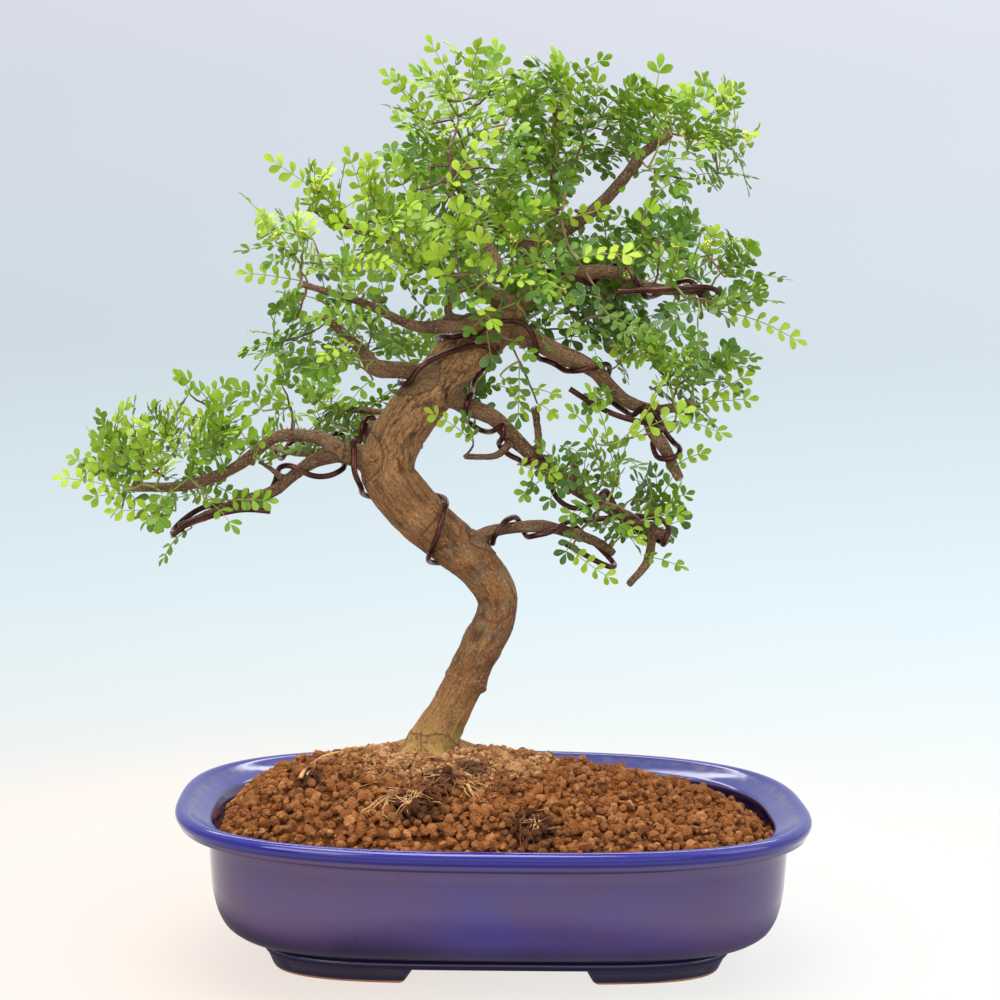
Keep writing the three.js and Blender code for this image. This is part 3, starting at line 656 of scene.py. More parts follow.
def scattered(shapes, places, sizes, source, flatness=0.72):
    """Copies of the shapes at the places, each turned, sized and squeezed by chance."""
    points, faces, tones = [], [], []
    first = 0
    for place, size in zip(places, sizes):
        shape_points, shape_faces = shapes[source.randrange(len(shapes))]
        stretch = np.array([1, source.uniform(flatness, 1), source.uniform(flatness, 1)])
        turned = (shape_points * stretch * size / 2) @ any_turn(source).T
        points.append(turned + place)
        faces.append(shape_faces + first)
        first += len(shape_points)
        tones.append(np.full(len(shape_points), source.random()))
    return np.concatenate(points), np.concatenate(faces), np.concatenate(tones)


def set_values(thing, name, values, kind="FLOAT", key="value"):
    layer = thing.data.attributes.new(name, kind, "POINT")
    layer.data.foreach_set(key, np.asarray(values, dtype=float).ravel())


def damp_at(points):
    """How damp the soil is at each point, from 0 to 1."""
    damp = np.zeros(len(points))
    for (x, y), reach in DAMP_PATCHES:
        gap = np.hypot(points[:, 0] - x, points[:, 1] - y)
        damp = np.maximum(damp, np.clip(DAMP_FADE - DAMP_FADE * gap / reach, 0, 1))
    return damp


def anywhere_within(shelf):
    """A place in the pot's oblong, as far in from the rim as the shelf."""
    x = chance.uniform(-1, 1) * (RIM_HALF_LENGTH - shelf)
    return x, chance.uniform(-1, 1) * (RIM_HALF_DEPTH - shelf)


def sized(sizes, evenness):
    return sizes[0] + (sizes[1] - sizes[0]) * chance.betavariate(*evenness)


grain_shapes = [crumb(2, 11, k + 1) for k in range(GRAIN_SHAPES)]
crumb_shapes = [crumb(1, 7, k + 60) for k in range(CRUMB_SHAPES)]
grain_places, grain_sizes = [], []
rows = int(RIM_HALF_DEPTH * 2 / (GRAIN_PITCH * ROW_SHARE))
columns = int(RIM_HALF_LENGTH * 2 / GRAIN_PITCH)
for row in range(-rows // 2, rows // 2 + 1):
    for column in range(-columns // 2, columns // 2 + 1):
        x = (column + 0.5 * (row % 2)) * GRAIN_PITCH + chance.uniform(-GRAIN_JITTER, GRAIN_JITTER)
        y = row * GRAIN_PITCH * ROW_SHARE + chance.uniform(-GRAIN_JITTER, GRAIN_JITTER)
        size = sized(GRAIN_SIZES, GRAIN_EVENNESS)
        edge = OUTERMOST + chance.uniform(-OUTERMOST_SPREAD, OUTERMOST_SPREAD)
        if wall_share(x, y) > edge or ball_share(x, y) < chance.uniform(0.9, 1.04):
            continue
        lift = chance.uniform(*GRAIN_LIFTS)
        grain_places.append((x, y, soil_top(x, y) + lift))
        grain_sizes.append(size)
for _ in range(STACKED_GRAINS):
    x, y = anywhere_within(SHELF)
    if wall_share(x, y) < 0.95 and ball_share(x, y) > chance.uniform(0.8, 1.0):
        grain_places.append((x, y, soil_top(x, y) + chance.uniform(*STACKED_LIFTS)))
        grain_sizes.append(chance.uniform(*STACKED_SIZES))
crumb_places, crumb_sizes = [], []
while len(crumb_places) < CRUMBS:
    x, y = anywhere_within(SOIL_INSET)
    if wall_share(x, y) < 0.985 and ball_share(x, y) > 0.9:
        crumb_places.append((x, y, soil_top(x, y) + chance.uniform(*CRUMB_LIFTS)))
        crumb_sizes.append(chance.uniform(*CRUMB_SIZES))
grains = scattered(grain_shapes, grain_places, grain_sizes, chance)
crumbs = scattered(crumb_shapes, crumb_places, crumb_sizes, chance)

FILL_SHARES = [1, 0.95, 0.88, 0.8, 0.7, 0.6, 0.5, 0.4, 0.3, 0.2, 0.1]
FILL_COLUMNS = 96
FILL_SECTION = [(38, 21), (30, 24.5), (23.4, 34), (20.6, 50), (19.6, 61)]
FILL_UNDER_GRAINS = 2.4
fill_rings = [pot_ring(inset, height, FILL_COLUMNS) for inset, height in FILL_SECTION]
fill_top = fill_rings[-1][:, :2]
for share in FILL_SHARES:
    ring = fill_top * share
    fill_rings.append(np.column_stack([ring, soil_top(ring[:, 0], ring[:, 1]) - FILL_UNDER_GRAINS]))


def heap_object(name, fill, *heaps):
    """One mesh of a filled body and the grains that lie on it, with the tone of each grain."""
    points, faces = fill
    faces = list(faces)
    parts, tones = [points], [np.full(len(points), 0.1)]
    first = len(points)
    for heap_points, heap_faces, heap_tones in heaps:
        faces += (heap_faces + first).tolist()
        first += len(heap_points)
        parts.append(heap_points)
        tones.append(heap_tones)
    points = np.concatenate(parts)
    heap = mesh_object(name, points, faces)
    heap.data.set_sharp_from_angle(angle=GRAIN_SHARP_EDGE)
    set_values(heap, "grain_tone", np.concatenate(tones))
    set_values(heap, "damp", damp_at(points))
    return heap


soil = heap_object("akadama_grains", ring_skin(fill_rings), grains, crumbs)


def value_on(tree, name, output="Fac"):
    """A value that the mesh carries at each point."""
    return add_node(tree, "ShaderNodeAttribute", attribute_name=name).outputs[output]


def earth_finish(name, dark, middle, pale, pale_share):
    """Clay grains: the tone of each grain, dusted paler on top and darker in its pores."""
    paint, tree, shader, marks = worn_finish(name, 420.0, 900.0)
    tone = value_on(tree, "grain_tone")
    colour = layered(
        dark,
        (ranged(tone, 0.0, 0.6), middle),
        (ranged(tone, pale_share, 1.0), pale),
        (ranged(marks["Blotches"], 0.35, 0.65, 0.0, 0.6), dark),
        (ranged(marks["Grain"], 0.5, 0.7, 0.0, 0.55), pale),
        (product(value_on(tree, "damp"), 0.82), (0.04, 0.013, 0.008)),
    )
    feed(shader, {
        "Base Color": colour,
        "Roughness": 0.95,
        "Specular IOR Level": 0.15,
        "Normal": bumped(marks["Grain"], 1.0, 0.0022),
    })
    return paint


soil.data.materials.append(
    earth_finish("akadama_clay", (0.19, 0.06, 0.016), (0.42, 0.155, 0.044), (0.6, 0.27, 0.1), 0.72))
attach(soil, "root")
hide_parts("akadama_soil")

# Root ball: the mound of old soil that came with the tree, drier, paler and finer than
# the new grains round it, and held together by the roots that grew through it.
BALL_GRAINS = 880
BALL_GRAIN_SIZES = (2.4, 8.4)
BALL_GRAIN_EVENNESS = (1.2, 2.9)
BALL_GRAIN_LIFTS = (0.2, 2.2)
BALL_CRUMBS = 1500
BALL_CRUMB_EVENNESS = (1.2, 1.5)
BALL_CRUMB_LIFTS = (1.2, 3.0)
BALL_EDGE_SPREAD = 0.08
BALL_RINGS = 26
BALL_COLUMNS = 72
BALL_SOLID = 0.97
BALL_FLOOR = 50.0
BALL_SWELLS = 1.1
chance = random.Random(23)


def on_the_ball(count, sizes, evenness, lifts):
    """Places and sizes of grains scattered over the root ball."""
    places, widths = [], []
    while len(places) < count:
        x = BALL_CENTRE[0] + chance.uniform(-1.1, 1.1) * BALL_HALF[0]
        y = BALL_CENTRE[1] + chance.uniform(-1.1, 1.1) * BALL_HALF[1]
        if ball_share(x, y) > 1.0 + chance.uniform(-BALL_EDGE_SPREAD, BALL_EDGE_SPREAD):
            continue
        widths.append(sized(sizes, evenness))
        places.append((x, y, soil_top(x, y) + chance.uniform(*lifts)))
    return places, widths


grain_spread = on_the_ball(BALL_GRAINS, BALL_GRAIN_SIZES, BALL_GRAIN_EVENNESS, BALL_GRAIN_LIFTS)
ball_grains = scattered(grain_shapes, *grain_spread, chance)
crumb_spread = on_the_ball(BALL_CRUMBS, CRUMB_SIZES, BALL_CRUMB_EVENNESS, BALL_CRUMB_LIFTS)
ball_crumbs = scattered(crumb_shapes, *crumb_spread, chance)

turn = np.linspace(0, 2 * math.pi, BALL_COLUMNS, endpoint=False)
ball_rings = []
for k in range(BALL_RINGS):
    depth = (BALL_RINGS - 1 - k) / (BALL_RINGS - 1)
    reach = 1.0 if k == 0 else 0.02 + 0.98 * depth
    x = BALL_CENTRE[0] + BALL_HALF[0] * BALL_SOLID * reach * np.cos(turn)
    y = BALL_CENTRE[1] + BALL_HALF[1] * BALL_SOLID * reach * np.sin(turn)
    z = np.full(BALL_COLUMNS, BALL_FLOOR) if k == 0 else soil_top(x, y)
    if k > 0:
        z = z + [BALL_SWELLS * noise.noise(Vector((a, b, 3)) * 0.16) for a, b in zip(x, y)]
    ball_rings.append(np.column_stack([x, y, z]))
root_ball = heap_object("old_root_ball", ring_skin(ball_rings), ball_grains, ball_crumbs)
root_ball.data.materials.append(
    earth_finish("old_soil", (0.26, 0.1, 0.034), (0.6, 0.3, 0.115), (0.82, 0.5, 0.24), 0.6))
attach(root_ball, "root")
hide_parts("root_ball")

# Fine roots: hair roots and a few thicker ones lie on the mound where the old soil was
# brushed back. They are dry and pale, and lie on the grains in loose curves. Each place
# has how many hair roots start near it.
ROOT_STARTS = [
    (-40, -48, 26), (-52, -54, 8), (16, -67, 16), (-27, -33, 22), (-12, -24, 16), (-84, -10, 10),
    (-62, -24, 12), (-8, -40, 12), (4, -30, 8), (-30, -14, 8),
]
# The thicker roots, each with its half thickness and its way over the mound.
BARE_ROOTS = [
    (0.5, [(-27, -36), (-36, -44), (-46, -46), (-54, -52), (-61, -60)]),
    (0.55, [(-33, -42), (-39, -51), (-45, -57), (-48, -63)]),
    (0.4, [(-35, -43), (-41, -54), (-46, -62)]),
    (1.1, [(-94, -24), (-92, -13), (-87, -2), (-76, 3), (-70, 4)]),
    (0.5, [(-91, -22), (-89, -14), (-84, -10), (-79, -8)]),
    (0.8, [(-44, -19), (-34, -12), (-22, -18)]),
    (0.8, [(-27, -29), (-19, -27), (-7, -35)]),
    (0.75, [(-14, -40), (-10, -50), (-12, -58)]),
]
HAIR_THICKNESSES = (0.12, 0.14, 0.18, 0.26)
HAIR_STEP = 2
ON_THE_GRAINS = 2.4
PATH_FINENESS = 12
chance = random.Random(31)


def smooth_path(points, step):
    """A smooth line through points given as rows, stepped evenly. Extra columns follow."""
    points = np.asarray(points, dtype=float)
    first = 2 * points[0] - points[1]
    last = 2 * points[-1] - points[-2]
    row = np.vstack([first, points, last])
    fine = []
    for k in range(1, len(row) - 2):
        p0, p1, p2, p3 = row[k - 1:k + 3]
        ends = ((p0, p1), (p1, p2), (p2, p3))
        gaps = [max(1e-3, np.linalg.norm((after - before)[:3])) ** 0.5 for before, after in ends]
        t0, t1 = 0.0, gaps[0]
        t2, t3 = t1 + gaps[1], t1 + gaps[1] + gaps[2]
        t = np.linspace(t1, t2, PATH_FINENESS, endpoint=False)[:, None]
        a1 = (t1 - t) / (t1 - t0) * p0 + (t - t0) / (t1 - t0) * p1
        a2 = (t2 - t) / (t2 - t1) * p1 + (t - t1) / (t2 - t1) * p2
        a3 = (t3 - t) / (t3 - t2) * p2 + (t - t2) / (t3 - t2) * p3
        b1 = (t2 - t) / (t2 - t0) * a1 + (t - t0) / (t2 - t0) * a2
        b2 = (t3 - t) / (t3 - t1) * a2 + (t - t1) / (t3 - t1) * a3
        fine.append((t2 - t) / (t2 - t1) * b1 + (t - t1) / (t2 - t1) * b2)
    fine.append(row[-2:-1])
    fine = np.vstack(fine)
    run = np.concatenate([[0], np.cumsum(np.linalg.norm(np.diff(fine[:, :3], axis=0), axis=1))])
    count = max(2, int(round(run[-1] / step)) + 1)
    at = np.linspace(0, run[-1], count)
    return np.column_stack([np.interp(at, run, fine[:, c]) for c in range(fine.shape[1])])


def carried_frames(path):
    """Tangents and two side directions that turn as little as they can along a path."""
    tangents = np.gradient(path, axis=0)
    tangents /= np.linalg.norm(tangents, axis=1)[:, None] + 1e-9
    side = np.cross(tangents[0], (0.31, 0.87, 0.38))
    side /= np.linalg.norm(side)
    sides = []
    for tangent in tangents:
        side = side - tangent * np.dot(side, tangent)
        side = side / (np.linalg.norm(side) + 1e-9)
        sides.append(side)
    sides = np.array(sides)
    return tangents, sides, np.cross(tangents, sides)


def tube(path, radii, sides):
    """A closed tube round a path: points and triangles."""
    _, one, two = carried_frames(path)
    turn = np.linspace(0, 2 * math.pi, sides, endpoint=False)
    reach = np.asarray(radii)[:, None, None]
    cosines, sines = np.cos(turn)[None, :, None], np.sin(turn)[None, :, None]
    round_it = one[:, None, :] * cosines + two[:, None, :] * sines
    rings = path[:, None, :] + round_it * reach
    points = np.vstack([rings.reshape(-1, 3), path[:1], path[-1:]])
    count = len(path)
    rim = np.arange(sides)
    after = (rim + 1) % sides
    ring_starts = np.arange(count - 1)[:, None] * sides
    here = (ring_starts + rim[None, :]).ravel()
    beside = (ring_starts + after[None, :]).ravel()
    start, end = count * sides, count * sides + 1
    top = (count - 1) * sides
    faces = [
        np.stack([here, beside, beside + sides], axis=1),
        np.stack([here, beside + sides, here + sides], axis=1),
        np.stack([np.full(sides, start), after, rim], axis=1),
        np.stack([np.full(sides, end), top + rim, top + after], axis=1),
    ]
    return points, np.vstack(faces)


def gathered(pieces):
    """Several pairs of points and faces as one pair."""
    first = 0
    points, faces = [], []
    for piece_points, piece_faces in pieces:
        points.append(piece_points)
        faces.append(np.asarray(piece_faces) + first)
        first += len(piece_points)
    return np.vstack(points), np.vstack(faces)


root_tubes = []
for start_x, start_y, how_many in ROOT_STARTS:
    for _ in range(how_many):
        x = start_x + chance.gauss(0, 6)
        y = start_y + chance.gauss(0, 5)
        heading = chance.uniform(0, 2 * math.pi)
        length = 6 + 20 * chance.betavariate(1.2, 2.6)
        thickness = chance.choice(HAIR_THICKNESSES)
        bend = chance.gauss(0, 0.16)
        hump = chance.uniform(0.2, 1.8)
        line = []
        steps = int(length / HAIR_STEP)
        for k in range(steps + 1):
            arch = hump * math.sin(math.pi * k / steps)
            line.append((x, y, soil_top(x, y) + ON_THE_GRAINS + arch))
            heading += bend + chance.gauss(0, 0.24)
            x += HAIR_STEP * math.cos(heading)
            y += HAIR_STEP * math.sin(heading)
        root_tubes.append(tube(np.array(line), np.full(len(line), thickness), 5))
for thickness, route in BARE_ROOTS:
    line = round_corners(np.array(route, dtype=float), 3)
    arch = np.sin(np.linspace(0, 4 * math.pi, len(line))) * 0.5
    line = np.column_stack([line, soil_top(line[:, 0], line[:, 1]) + 2.6 + arch])
    root_tubes.append(tube(line, thickness * np.linspace(1, 0.4, len(line)), 8))
fine_roots = mesh_object("fine_roots", *gathered(root_tubes))
root_skin, tree, shader, marks = worn_finish("dry_root", 60.0, 1300.0)
feed(shader, {
    "Base Color": blended(ranged(marks["Blotches"], 0.46, 0.56), (0.2, 0.06, 0.02), (0.56, 0.32, 0.12)),
    "Roughness": 0.8,
    "Normal": bumped(marks["Grain"], 0.5, 0.0003),
})
fine_roots.data.materials.append(root_skin)
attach(fine_roots, "root")

# Trunk and branches: one piece of living wood. Each limb is a row of points along its
# pith with its radius there, and the limbs are grown together into one skin of bark.
TRUNK = [
    (-35, 9, 80, 12), (-33.5, 9, 91, 15.6), (-30.5, 8, 102, 13.4), (-26, 7, 112.5, 11),
    (-19.5, 6, 125, 10), (-13.5, 5, 139, 10), (-7, 4, 153, 10.4), (-1, 3, 166, 10),
    (-0.5, 2, 178, 10), (-8, 0, 190.5, 10.8), (-21.5, -2, 203, 11.7), (-36.5, -4, 215, 12.4),
    (-47.5, -5, 227, 13.1), (-55, -5, 239, 13.1), (-52.5, -3, 251, 12.7), (-44, 0, 266, 12.7),
    (-33, 3, 280.5, 12.2), (-20.5, 6, 295.5, 11.5), (-7.5, 8, 306, 10.8), (2.5, 10, 317, 8.4),
    (8.5, 12, 330, 6.7), (12.5, 12, 343, 5.7), (15.5, 11, 352.5, 4.7),
]
LIMBS = {
    "left_arm": [(-58.5, -5, 243.5, 9), (-70.5, -8, 246.5, 5.8), (-79, -10, 248.5, 5.2)],
    "left_upper_limb": [
        (-77, -10, 248, 4.8), (-86.5, -12, 254.5, 3.6), (-97, -14, 256, 3.1), (-108.5, -16, 255, 3.1),
        (-124.5, -20, 242.5, 2.9), (-138.5, -24, 235.5, 2.9), (-154.5, -27, 231.5, 2.6),
        (-175, -31, 231.5, 2.4),
    ],
    "left_lower_limb": [
        (-77, -10, 248, 4.4), (-90.5, -10, 243.5, 3.6), (-98.5, -10, 238, 3.1), (-110, -9, 228.5, 2.9),
        (-125.5, -8, 223.5, 2.7), (-140.5, -6, 216.5, 2.4), (-156, -4, 210, 2.2),
    ],
    "dead_twig": [(-105, -9, 234.5, 2), (-111, -14, 240, 1.4), (-116.5, -17, 243.5, 1.1)],
    "back_left_twig": [
        (-46, 2, 269, 4), (-56, 20, 266.5, 2), (-70, 32, 266.5, 1.8), (-82, 42, 266.5, 1.5),
    ],
    "back_left_limb": [
        (-50, 2, 258, 6), (-62, 18, 258.5, 4), (-71, 28, 253.5, 3.5), (-78, 36, 248, 3),
        (-89.5, 48, 244, 2.6), (-106.5, 62, 243, 2.1), (-122, 74, 246, 1.8),
    ],
    "left_upper_branch": [
        (-36, 0, 285, 5), (-47, -6, 288, 4.4), (-61.5, -14, 289.5, 4.3), (-67, -18, 296.5, 3.1),
        (-78, -28, 307, 2.2), (-86, -32, 313.5, 1.8),
    ],
    "left_stub_branch": [
        (1, 4, 311, 6.9), (-11.5, -6, 312, 5.3), (-23.5, -14, 310.5, 4.1), (-42, -25, 309.5, 2.8),
        (-67.5, -38, 320, 2), (-95.5, -48, 328, 1.7),
    ],
    "crown_left_limb": [
        (5, 10, 319, 5.4), (-8.5, 2, 326.5, 3.9), (-32.5, -10, 335.5, 2.9), (-53, -20, 348.5, 2.4),
        (-81, -32, 357.5, 1.9), (-93, -38, 364.5, 1.7),
    ],
    "crown_front_twig": [
        (-12, -6, 312, 3), (-26.5, -18, 315, 2.2), (-25.5, -28, 324.5, 1.9), (-17.5, -36, 328.5, 1.7),
        (-8, -42, 331, 1.4),
    ],
    "crown_top_left": [
        (13.5, 12, 346.5, 4.4), (-3.5, -4, 357.5, 3.4), (-17.5, -16, 367.5, 2.2),
        (-25, -24, 378.5, 1.9), (-28.5, -30, 392, 1.7),
    ],
    "crown_leader": [
        (14.5, 12, 349.5, 4.2), (22.5, 16, 359.5, 3), (25, 20, 370, 2.7), (24.5, 22, 381.5, 2.5),
        (24.5, 20, 412.5, 2), (22.5, 18, 423.5, 1.7),
    ],
    "crown_right_limb": [
        (14, 12, 348.5, 4.6), (28, 10, 356.5, 3.7), (46.5, 6, 370.5, 3.2), (59, 4, 385.5, 2.9),
        (64.5, 2, 393.5, 2.6), (79, -2, 404.5, 2.2),
    ],
    "crown_back_limb": [
        (5, 12, 322, 4.6), (1.5, 30, 333, 3.5), (-4.5, 48, 346, 3.1), (-11.5, 64, 360, 2.6),
        (-20, 78, 372, 2.1), (-31.5, 88, 382.5, 1.7),
    ],
    "back_right_limb": [
        (4, 12, 317, 5), (22, 34, 325.5, 3.8), (40.5, 52, 334, 3.3), (59.5, 66, 344, 2.9),
        (78.5, 76, 353.5, 2.4), (100, 82, 364.5, 1.8),
    ],
    "back_low_limb": [
        (-17, 8, 299, 5.4), (-19, 34, 296.5, 4), (-26, 54, 291, 3.3), (-34, 70, 287.5, 2.6),
        (-45.5, 82, 288, 1.9),
    ],
    "mid_right_branch": [
        (6, 11, 323, 5.4), (20.5, 10, 329.5, 4.7), (32.5, 8, 335.5, 4.2), (55.5, 2, 337, 3.2),
        (66, -1, 331.5, 2.9), (80, -5, 329.5, 2.7), (98, -10, 330, 2.2),
    ],
    "right_branch": [
        (-2, 8, 308, 6.4), (15, 7, 304, 4.9), (25.5, 5, 298.5, 4.7), (45.5, 1, 289.5, 4.2),
        (52, -2, 282, 3.9), (60, -5, 275.5, 3.4), (73.5, -8, 271.5, 2.9), (91, -18, 275.5, 1.9),
    ],
    "right_branch_drop": [
        (70, -8, 271.5, 2.9), (72.5, -10, 262.5, 3.4), (78.5, -12, 253.5, 3.2), (86.5, -15, 238, 2.4),
    ],
    "right_lower_branch": [
        (-29, 4, 278, 6.2), (-16, 8, 270.5, 4.7), (-3, 7, 265, 4.2), (5, 6, 257, 4.2),
        (13.5, 5, 249, 3.9), (33.5, 2, 234, 3.7), (49, -2, 225, 3.2), (66.5, -6, 216, 2.9),
        (82.5, -10, 210, 2.7),
    ],
    "right_lower_tip": [(74.5, -8, 213, 2.6), (74, -8, 204, 2.4), (72, -7, 196, 2.2), (63.5, -5, 185, 2)],
    "right_lower_side_twig": [(6, 5, 255, 2.5), (-2, -2, 247.5, 1.9), (-18, -8, 247, 1.6)],
    "right_lower_first_stub": [(18.5, 4, 245, 2.2), (18.5, 2, 255, 2), (16, 0, 271.5, 2)],
    "right_lower_second_stub": [(40.5, 0, 229, 3), (37.5, -3, 237, 2.4), (34.5, -5, 249.5, 2.2)],
    "lowest_branch": [
        (-18, -1, 203, 5.6), (-8.5, 2, 207, 3.9), (-2, 4, 210, 3.2), (21.5, 7, 212, 3.2),
        (34.5, 8, 209.5, 3), (51, 10, 203.5, 2.5), (58, 11, 198.5, 2),
    ],
}
# Knobs where twigs were cut back: place and radius.
KNOBS = [
    (-15, 0, 157, 2.6), (-6.4, 2, 131, 2.2), (-27.4, 3, 129, 2.2), (-34, -12, 203, 2.6),
    (-13, -11, 210, 2.4), (-63, -13, 291, 3.6), (-58, -10, 286, 2.6), (-22, -16, 312, 3.4),
    (-14, -10, 314, 4.2), (-4, -3, 314, 5), (-44, -24, 310, 2.4), (-76, -10, 250, 3.2),
    (-86, -10, 257, 2), (34, -8, 366, 2), (60, 0, 388, 2.2), (48, -3, 292, 2.8),
    (9, -2, 303, 3.2), (-30, -8, 276, 3), (24, 3, 246, 2.4), (50, -6, 228, 2.4),
]
# Surface roots run out from the foot of the trunk and into the soil.
SURFACE_ROOTS = [
    [(-30, -2, 100, 5.5), (-24, -12, 96.5, 4), (-16, -20, 92, 2.6), (-8, -27, 87, 1.6)],
    [(-40, 0, 99, 5), (-50, -7, 95.5, 3.4), (-61, -12, 90, 2)],
    [(-44, 12, 99, 5), (-56, 18, 94, 3), (-66, 26, 86, 1.8)],
    [(-22, 12, 101, 5), (-9, 16, 97, 3.2), (3, 22, 90, 1.8)],
    [(-34, 20, 99, 5), (-36, 32, 92, 3), (-32, 44, 84, 1.8)],
]
BARK_VOXEL = 0.00096
PITH_STEP = 1.5
BARK_SMOOTHING = 4
TRUNK_SIDES = 40
LIMB_SIDES = 16
# In the straightened bark each limb starts so far beyond the one before it.
LIMB_APART = 300

pith = []
wood_tubes = []
for limb_number, rows in enumerate([TRUNK, *LIMBS.values(), *SURFACE_ROOTS]):
    path = smooth_path(rows, PITH_STEP)
    line, radii = path[:, :3], path[:, 3]
    _, one, two = carried_frames(line)
    run = np.arange(len(line)) * PITH_STEP
    sides = TRUNK_SIDES if limb_number == 0 else LIMB_SIDES
    wood_tubes.append(tube(line, radii, sides))
    for k, centre in enumerate(line):
        to_end = (len(line) - 1 - k) * PITH_STEP
        start_run = run[k] + limb_number * LIMB_APART
        pith.append((centre, radii[k], one[k], two[k], start_run, to_end, limb_number))
for *knob, knob_radius in KNOBS:
    points, faces = crumb(2, 16, round(knob_radius * 10))
    wood_tubes.append((points * knob_radius + knob, faces))
wood = mesh_object("trunk_and_branches_bark", *gathered(wood_tubes))
skin_step = wood.modifiers.new("skin", "REMESH")
skin_step.mode = "VOXEL"
skin_step.voxel_size = BARK_VOXEL
ease_step = wood.modifiers.new("ease", "SMOOTH")
ease_step.factor = 0.5
ease_step.iterations = BARK_SMOOTHING
bake_modifiers(wood)

pith_tree = kdtree.KDTree(len(pith))
for k, entry in enumerate(pith):
    pith_tree.insert(Vector(to_frame(entry[0])), k)
pith_tree.balance()

# The bark is raised and cracked along each limb as if the limb were straightened out.
# Old wire left dark rings on the trunk: the two ends of each mark, as x and z.
WIRE_SCARS = [
    ((-29.5, 219), (-38.3, 208.6)), ((-7.6, 168.6), (-4.2, 166.3)), ((-4.2, 166.3), (-0.9, 165.7)),
    ((-0.9, 165.7), (3.6, 167.4)), ((3.6, 167.4), (8.5, 171.5)), ((-18.6, 213), (-19.2, 208.3)),
    ((-32.1, 200.9), (-25.6, 203.9)), ((-27, 278), (-26, 270)), ((-50, 246), (-47, 240)),
]
SCAR_WIDTH = 0.8
SCAR_DEPTH = 0.4
# A callus runs across the trunk where a low branch was taken off: its points, as x and z.
CALLUS = [((-25, 139.5), (-16.3, 135.5)), ((-16.3, 135.5), (-4, 132.7))]
CALLUS_HEIGHT = 0.6
CALLUS_WIDTH = 1.5
CALLUS_BAND = (125, 147)
# Where a root meets the trunk, the bark there is the trunk's for so far.
ROOT_YIELDS = 1.2
PITHS_TRIED = 5
THICK_RADIUS = 10
CRACK_SHARE = 0.12
# The bark cracks deeper up the trunk, from the first height to the second.
OLD_BARK = (225, 265)
CUT_END_RADII = (1.3, 5)
CUT_END_REACH = 1.6


def gap_to_mark(x, z, mark):
    """How far a place is from a straight mark, both seen from the front."""
    (x0, z0), (x1, z1) = mark
    along = ((x - x0) * (x1 - x0) + (z - z0) * (z1 - z0)) / ((x1 - x0) ** 2 + (z1 - z0) ** 2)
    along = min(1, max(0, along))
    return math.hypot(x - x0 - along * (x1 - x0), z - z0 - along * (z1 - z0))


count = len(wood.data.vertices)
bark_points = np.empty(count * 3)
wood.data.vertices.foreach_get("co", bark_points)
bark_points = bark_points.reshape(-1, 3)
bark_normals = np.empty(count * 3)
wood.data.vertex_normals.foreach_get("vector", bark_normals)
bark_normals = bark_normals.reshape(-1, 3)
straight = np.empty((count, 3))
girth, scars, cut_ends, raised = (np.zeros(count) for _ in range(4))
for k in range(count):
    here = Vector(bark_points[k])
    best, best_gap = None, 1e9
    for _, number, gap in pith_tree.find_n(here, PITHS_TRIED):
        gap = abs(gap / MM - pith[number][1]) + ROOT_YIELDS * (pith[number][6] > len(LIMBS))
        if gap < best_gap:
            best, best_gap = pith[number], gap
    centre, radius, one, two, run, to_end, limb_number = best
    away = (bark_points[k] - POT_CENTRE) / MM - centre
    tangent = np.cross(one, two)
    u, v = float(np.dot(away, one)), float(np.dot(away, two))
    w = run + float(np.dot(away, tangent))
    straight[k] = (u, v, w)
    girth[k] = radius if limb_number <= len(LIMBS) else THICK_RADIUS
    spread = Vector((u, v, w))
    thick = min(1, radius / THICK_RADIUS)
    swell = noise.noise(spread * 0.09) * 0.9 + noise.noise(Vector((u, v, w * 0.45)) * 0.28) * 0.42
    cords = noise.noise(Vector((u * 0.5, v * 0.5, w * 0.09)))
    flakes = noise.noise(Vector((u * 0.42, v * 0.42, w * 0.3)) + Vector((9, 4, 2)))
    fissures = noise.noise(Vector((u * 0.3, v * 0.3, w * 0.11)) + Vector((3, 7, 5)))
    crack = max(0, CRACK_SHARE - abs(fissures))
    x, z = (bark_points[k, 0] - POT_CENTRE[0]) / MM, bark_points[k, 2] / MM
    on_trunk_front = limb_number == 0 and bark_normals[k, 1] < 0.3
    if on_trunk_front:
        nearest = min(gap_to_mark(x, z, mark) for mark in WIRE_SCARS)
        scars[k] = max(0, 1 - nearest / (SCAR_WIDTH * 1.6))
    upper = min(1, max(0, (z - OLD_BARK[0]) / (OLD_BARK[1] - OLD_BARK[0]))) if limb_number == 0 else 0.3
    flaking = flakes * (0.14 + 0.3 * upper)
    relief = thick * (swell * 0.8 + cords * 0.38 + flaking - crack * (2 + 3 * upper))
    relief += (1 - thick) * (swell * 0.22 + noise.noise(spread * 0.5) * 0.16)
    relief -= scars[k] * SCAR_DEPTH
    if on_trunk_front and CALLUS_BAND[0] < z < CALLUS_BAND[1]:
        near_callus = min(gap_to_mark(x, z, mark) for mark in CALLUS)
        relief += CALLUS_HEIGHT * math.exp(-(near_callus / CALLUS_WIDTH) ** 2)
    raised[k] = relief
    facing_end = float(np.dot(bark_normals[k], tangent))
    thin_enough = CUT_END_RADII[0] < radius < CUT_END_RADII[1]
    if to_end < CUT_END_REACH and facing_end > 0.7 and thin_enough and limb_number <= len(LIMBS):
        cut_ends[k] = 1
bark_points += bark_normals * raised[:, None] * MM
wood.data.vertices.foreach_set("co", bark_points.ravel())
wood.data.polygons.foreach_set("use_smooth", [True] * len(wood.data.polygons))
wood.data.update()
set_values(wood, "bark_place", straight, "FLOAT_VECTOR", "vector")
set_values(wood, "girth", girth)
set_values(wood, "scar", scars)
set_values(wood, "cut_end", cut_ends)
set_values(wood, "raised", raised)

